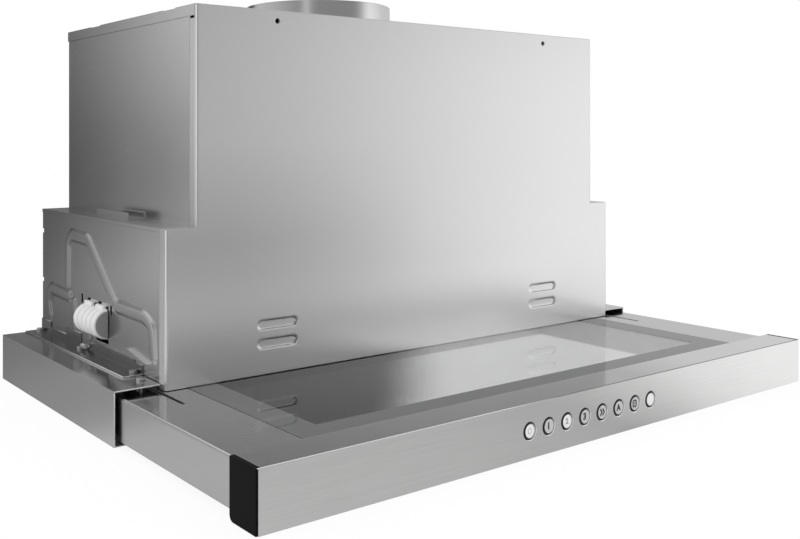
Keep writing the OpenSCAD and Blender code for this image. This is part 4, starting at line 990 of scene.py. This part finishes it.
def studio_ramp(nt, vector, levels):
    """A brightness from a list of levels, in the direction of a vector seen from above."""
    split = nt.nodes.new("ShaderNodeSeparateXYZ")
    nt.links.new(vector, split.inputs[0])

    turn = calc(nt, "ARCTAN2", split.outputs["X"], calc(nt, "MULTIPLY", split.outputs["Y"], -1.0))
    ramp = nt.nodes.new("ShaderNodeValToRGB")
    elements = ramp.color_ramp.elements
    for k, (deg, v) in enumerate(levels):
        e = elements[k] if k < 2 else elements.new((deg + 180) / 360)
        e.position = (deg + 180) / 360
        e.color = (v, v, v, 1)
    nt.links.new(calc(nt, "ADD", calc(nt, "DIVIDE", turn, 2 * math.pi), 0.5), ramp.inputs["Fac"])
    return ramp.outputs["Color"]


def stage_floor():
    """A wide floor, white to the eye, that mirrors in the metal as the studio round the hood."""
    mesh = bpy.data.meshes.new("floor")
    r = 40.0
    mesh.from_pydata([(-r, -r, -0.0005), (r, -r, -0.0005), (r, r, -0.0005), (-r, r, -0.0005)], [], [(0, 1, 2, 3)])
    floor = bpy.data.objects.new("floor", mesh)
    bpy.context.scene.collection.objects.link(floor)
    mat = bpy.data.materials.new("floor_white")
    mat.use_nodes = True
    nt = mat.node_tree
    bsdf = nt.nodes["Principled BSDF"]
    bsdf.inputs["Base Color"].default_value = (0.92, 0.92, 0.92, 1)
    bsdf.inputs["Roughness"].default_value = 0.9
    bsdf.inputs["Specular IOR Level"].default_value = 0.0
    glow = nt.nodes.new("ShaderNodeEmission")
    place = nt.nodes.new("ShaderNodeNewGeometry").outputs["Position"]
    level = nt.nodes.new("ShaderNodeMix")
    level.data_type = "RGBA"
    level.inputs["A"].default_value = (1.02, 1.02, 1.02, 1)
    # Rays that a surface mirrors see the studio on the floor; rays through the glass see it white
    path = nt.nodes.new("ShaderNodeLightPath").outputs
    nt.links.new(calc(nt, "SUBTRACT", path["Is Glossy Ray"], path["Is Transmission Ray"]), level.inputs["Factor"])
    # Near the hood the floor has its own levels, further away those of the studio behind it
    reach = nt.nodes.new("ShaderNodeVectorMath")
    reach.operation = "LENGTH"
    nt.links.new(place, reach.inputs[0])
    far = nt.nodes.new("ShaderNodeMapRange")
    far.inputs["From Min"].default_value = 0.55
    far.inputs["From Max"].default_value = 0.95
    nt.links.new(reach.outputs["Value"], far.inputs["Value"])
    tone = nt.nodes.new("ShaderNodeMix")
    tone.data_type = "RGBA"
    nt.links.new(far.outputs["Result"], tone.inputs["Factor"])
    nt.links.new(studio_ramp(nt, place, FLOOR), tone.inputs["A"])
    nt.links.new(studio_ramp(nt, place, FAR), tone.inputs["B"])
    nt.links.new(tone.outputs["Result"], level.inputs["B"])
    nt.links.new(level.outputs["Result"], glow.inputs["Color"])
    # The glow gives way a little to the lamps, so that the hood's soft shadow shows
    mix = nt.nodes.new("ShaderNodeMixShader")
    nt.links.new(calc(nt, "MULTIPLY", ray_share(nt), 0.9), mix.inputs["Fac"])
    nt.links.new(bsdf.outputs[0], mix.inputs[1])
    nt.links.new(glow.outputs[0], mix.inputs[2])
    nt.links.new(mix.outputs[0], nt.nodes["Material Output"].inputs["Surface"])
    mesh.materials.append(mat)


def ray_share(nt):
    """1 for camera, glossy and transmission rays, which all see the pale backdrop."""
    path = nt.nodes.new("ShaderNodeLightPath").outputs
    direct = calc(nt, "MAXIMUM", path["Is Camera Ray"], path["Is Glossy Ray"])
    return calc(nt, "MAXIMUM", direct, path["Is Transmission Ray"])


def studio_world():
    """A white backdrop, an even fill light, and graded levels for what the metal mirrors."""
    world = bpy.data.worlds.new("studio")
    bpy.context.scene.world = world
    world.use_nodes = True
    nt = world.node_tree
    nodes, links = nt.nodes, nt.links
    out = nodes["World Output"]
    plain = nodes["Background"]
    plain.inputs["Color"].default_value = (1, 1, 1, 1)
    plain.inputs["Strength"].default_value = 0.86
    coord = nodes.new("ShaderNodeTexCoord")
    split = nodes.new("ShaderNodeSeparateXYZ")
    links.new(coord.outputs["Generated"], split.inputs[0])
    graded = nodes.new("ShaderNodeBackground")
    tone = studio_ramp(nt, coord.outputs["Generated"], STUDIO)
    for levels, z0, z1 in ((ABOVE, 0.0, 0.1), (UPPER, 0.13, 0.24), (ZENITH, 0.38, 0.55)):
        lift = nodes.new("ShaderNodeMapRange")
        lift.inputs["From Min"].default_value = z0
        lift.inputs["From Max"].default_value = z1
        links.new(split.outputs["Z"], lift.inputs["Value"])
        level = nodes.new("ShaderNodeMix")
        level.data_type = "RGBA"
        links.new(lift.outputs["Result"], level.inputs["Factor"])
        links.new(tone, level.inputs["A"])
        links.new(studio_ramp(nt, coord.outputs["Generated"], levels), level.inputs["B"])
        tone = level.outputs["Result"]
    links.new(tone, graded.inputs["Color"])
    white = nodes.new("ShaderNodeBackground")
    white.inputs["Color"].default_value = (1, 1, 1, 1)
    white.inputs["Strength"].default_value = 1.0
    path = nodes.new("ShaderNodeLightPath")
    backdrop = nodes.new("ShaderNodeMixShader")
    links.new(path.outputs["Is Glossy Ray"], backdrop.inputs["Fac"])
    links.new(white.outputs[0], backdrop.inputs[1])
    links.new(graded.outputs[0], backdrop.inputs[2])
    final = nodes.new("ShaderNodeMixShader")
    links.new(ray_share(nt), final.inputs["Fac"])
    links.new(plain.outputs[0], final.inputs[1])
    links.new(backdrop.outputs[0], final.inputs[2])
    links.new(final.outputs[0], out.inputs["Surface"])


def softbox(name, place, aim, size, watts):
    """A rectangular area light that no surface mirrors."""
    light = bpy.data.lights.new(name, "AREA")
    light.shape = "RECTANGLE"
    light.size, light.size_y = size
    light.energy = watts
    obj = bpy.data.objects.new(name, light)
    obj.location = place
    obj.rotation_euler = (Vector(aim) - Vector(place)).to_track_quat("-Z", "Y").to_euler()
    obj.visible_glossy = False
    bpy.context.scene.collection.objects.link(obj)
    return obj


stage_floor()
studio_world()
softbox("key", (1.3, -1.5, 1.9), (0, 0, 0.1), (2.2, 1.8), 6)
softbox("top", (-0.2, 0.2, 2.4), (0, 0, 0), (2.4, 2.4), 5)

camera = bpy.data.cameras.new("camera")
camera.sensor_width = 36
camera.lens = 43.3517
camera.shift_x = 0.1
camera.shift_y = -0.16564
camera.clip_start = 0.02
cam = bpy.data.objects.new("camera", camera)
cam.location = (-0.5921093, -0.687866, 0.2278093)
cam.rotation_euler = (math.pi / 2, 0, -0.6292)
bpy.context.scene.collection.objects.link(cam)
bpy.context.scene.camera = cam
bpy.context.scene.view_settings.view_transform = "Standard"
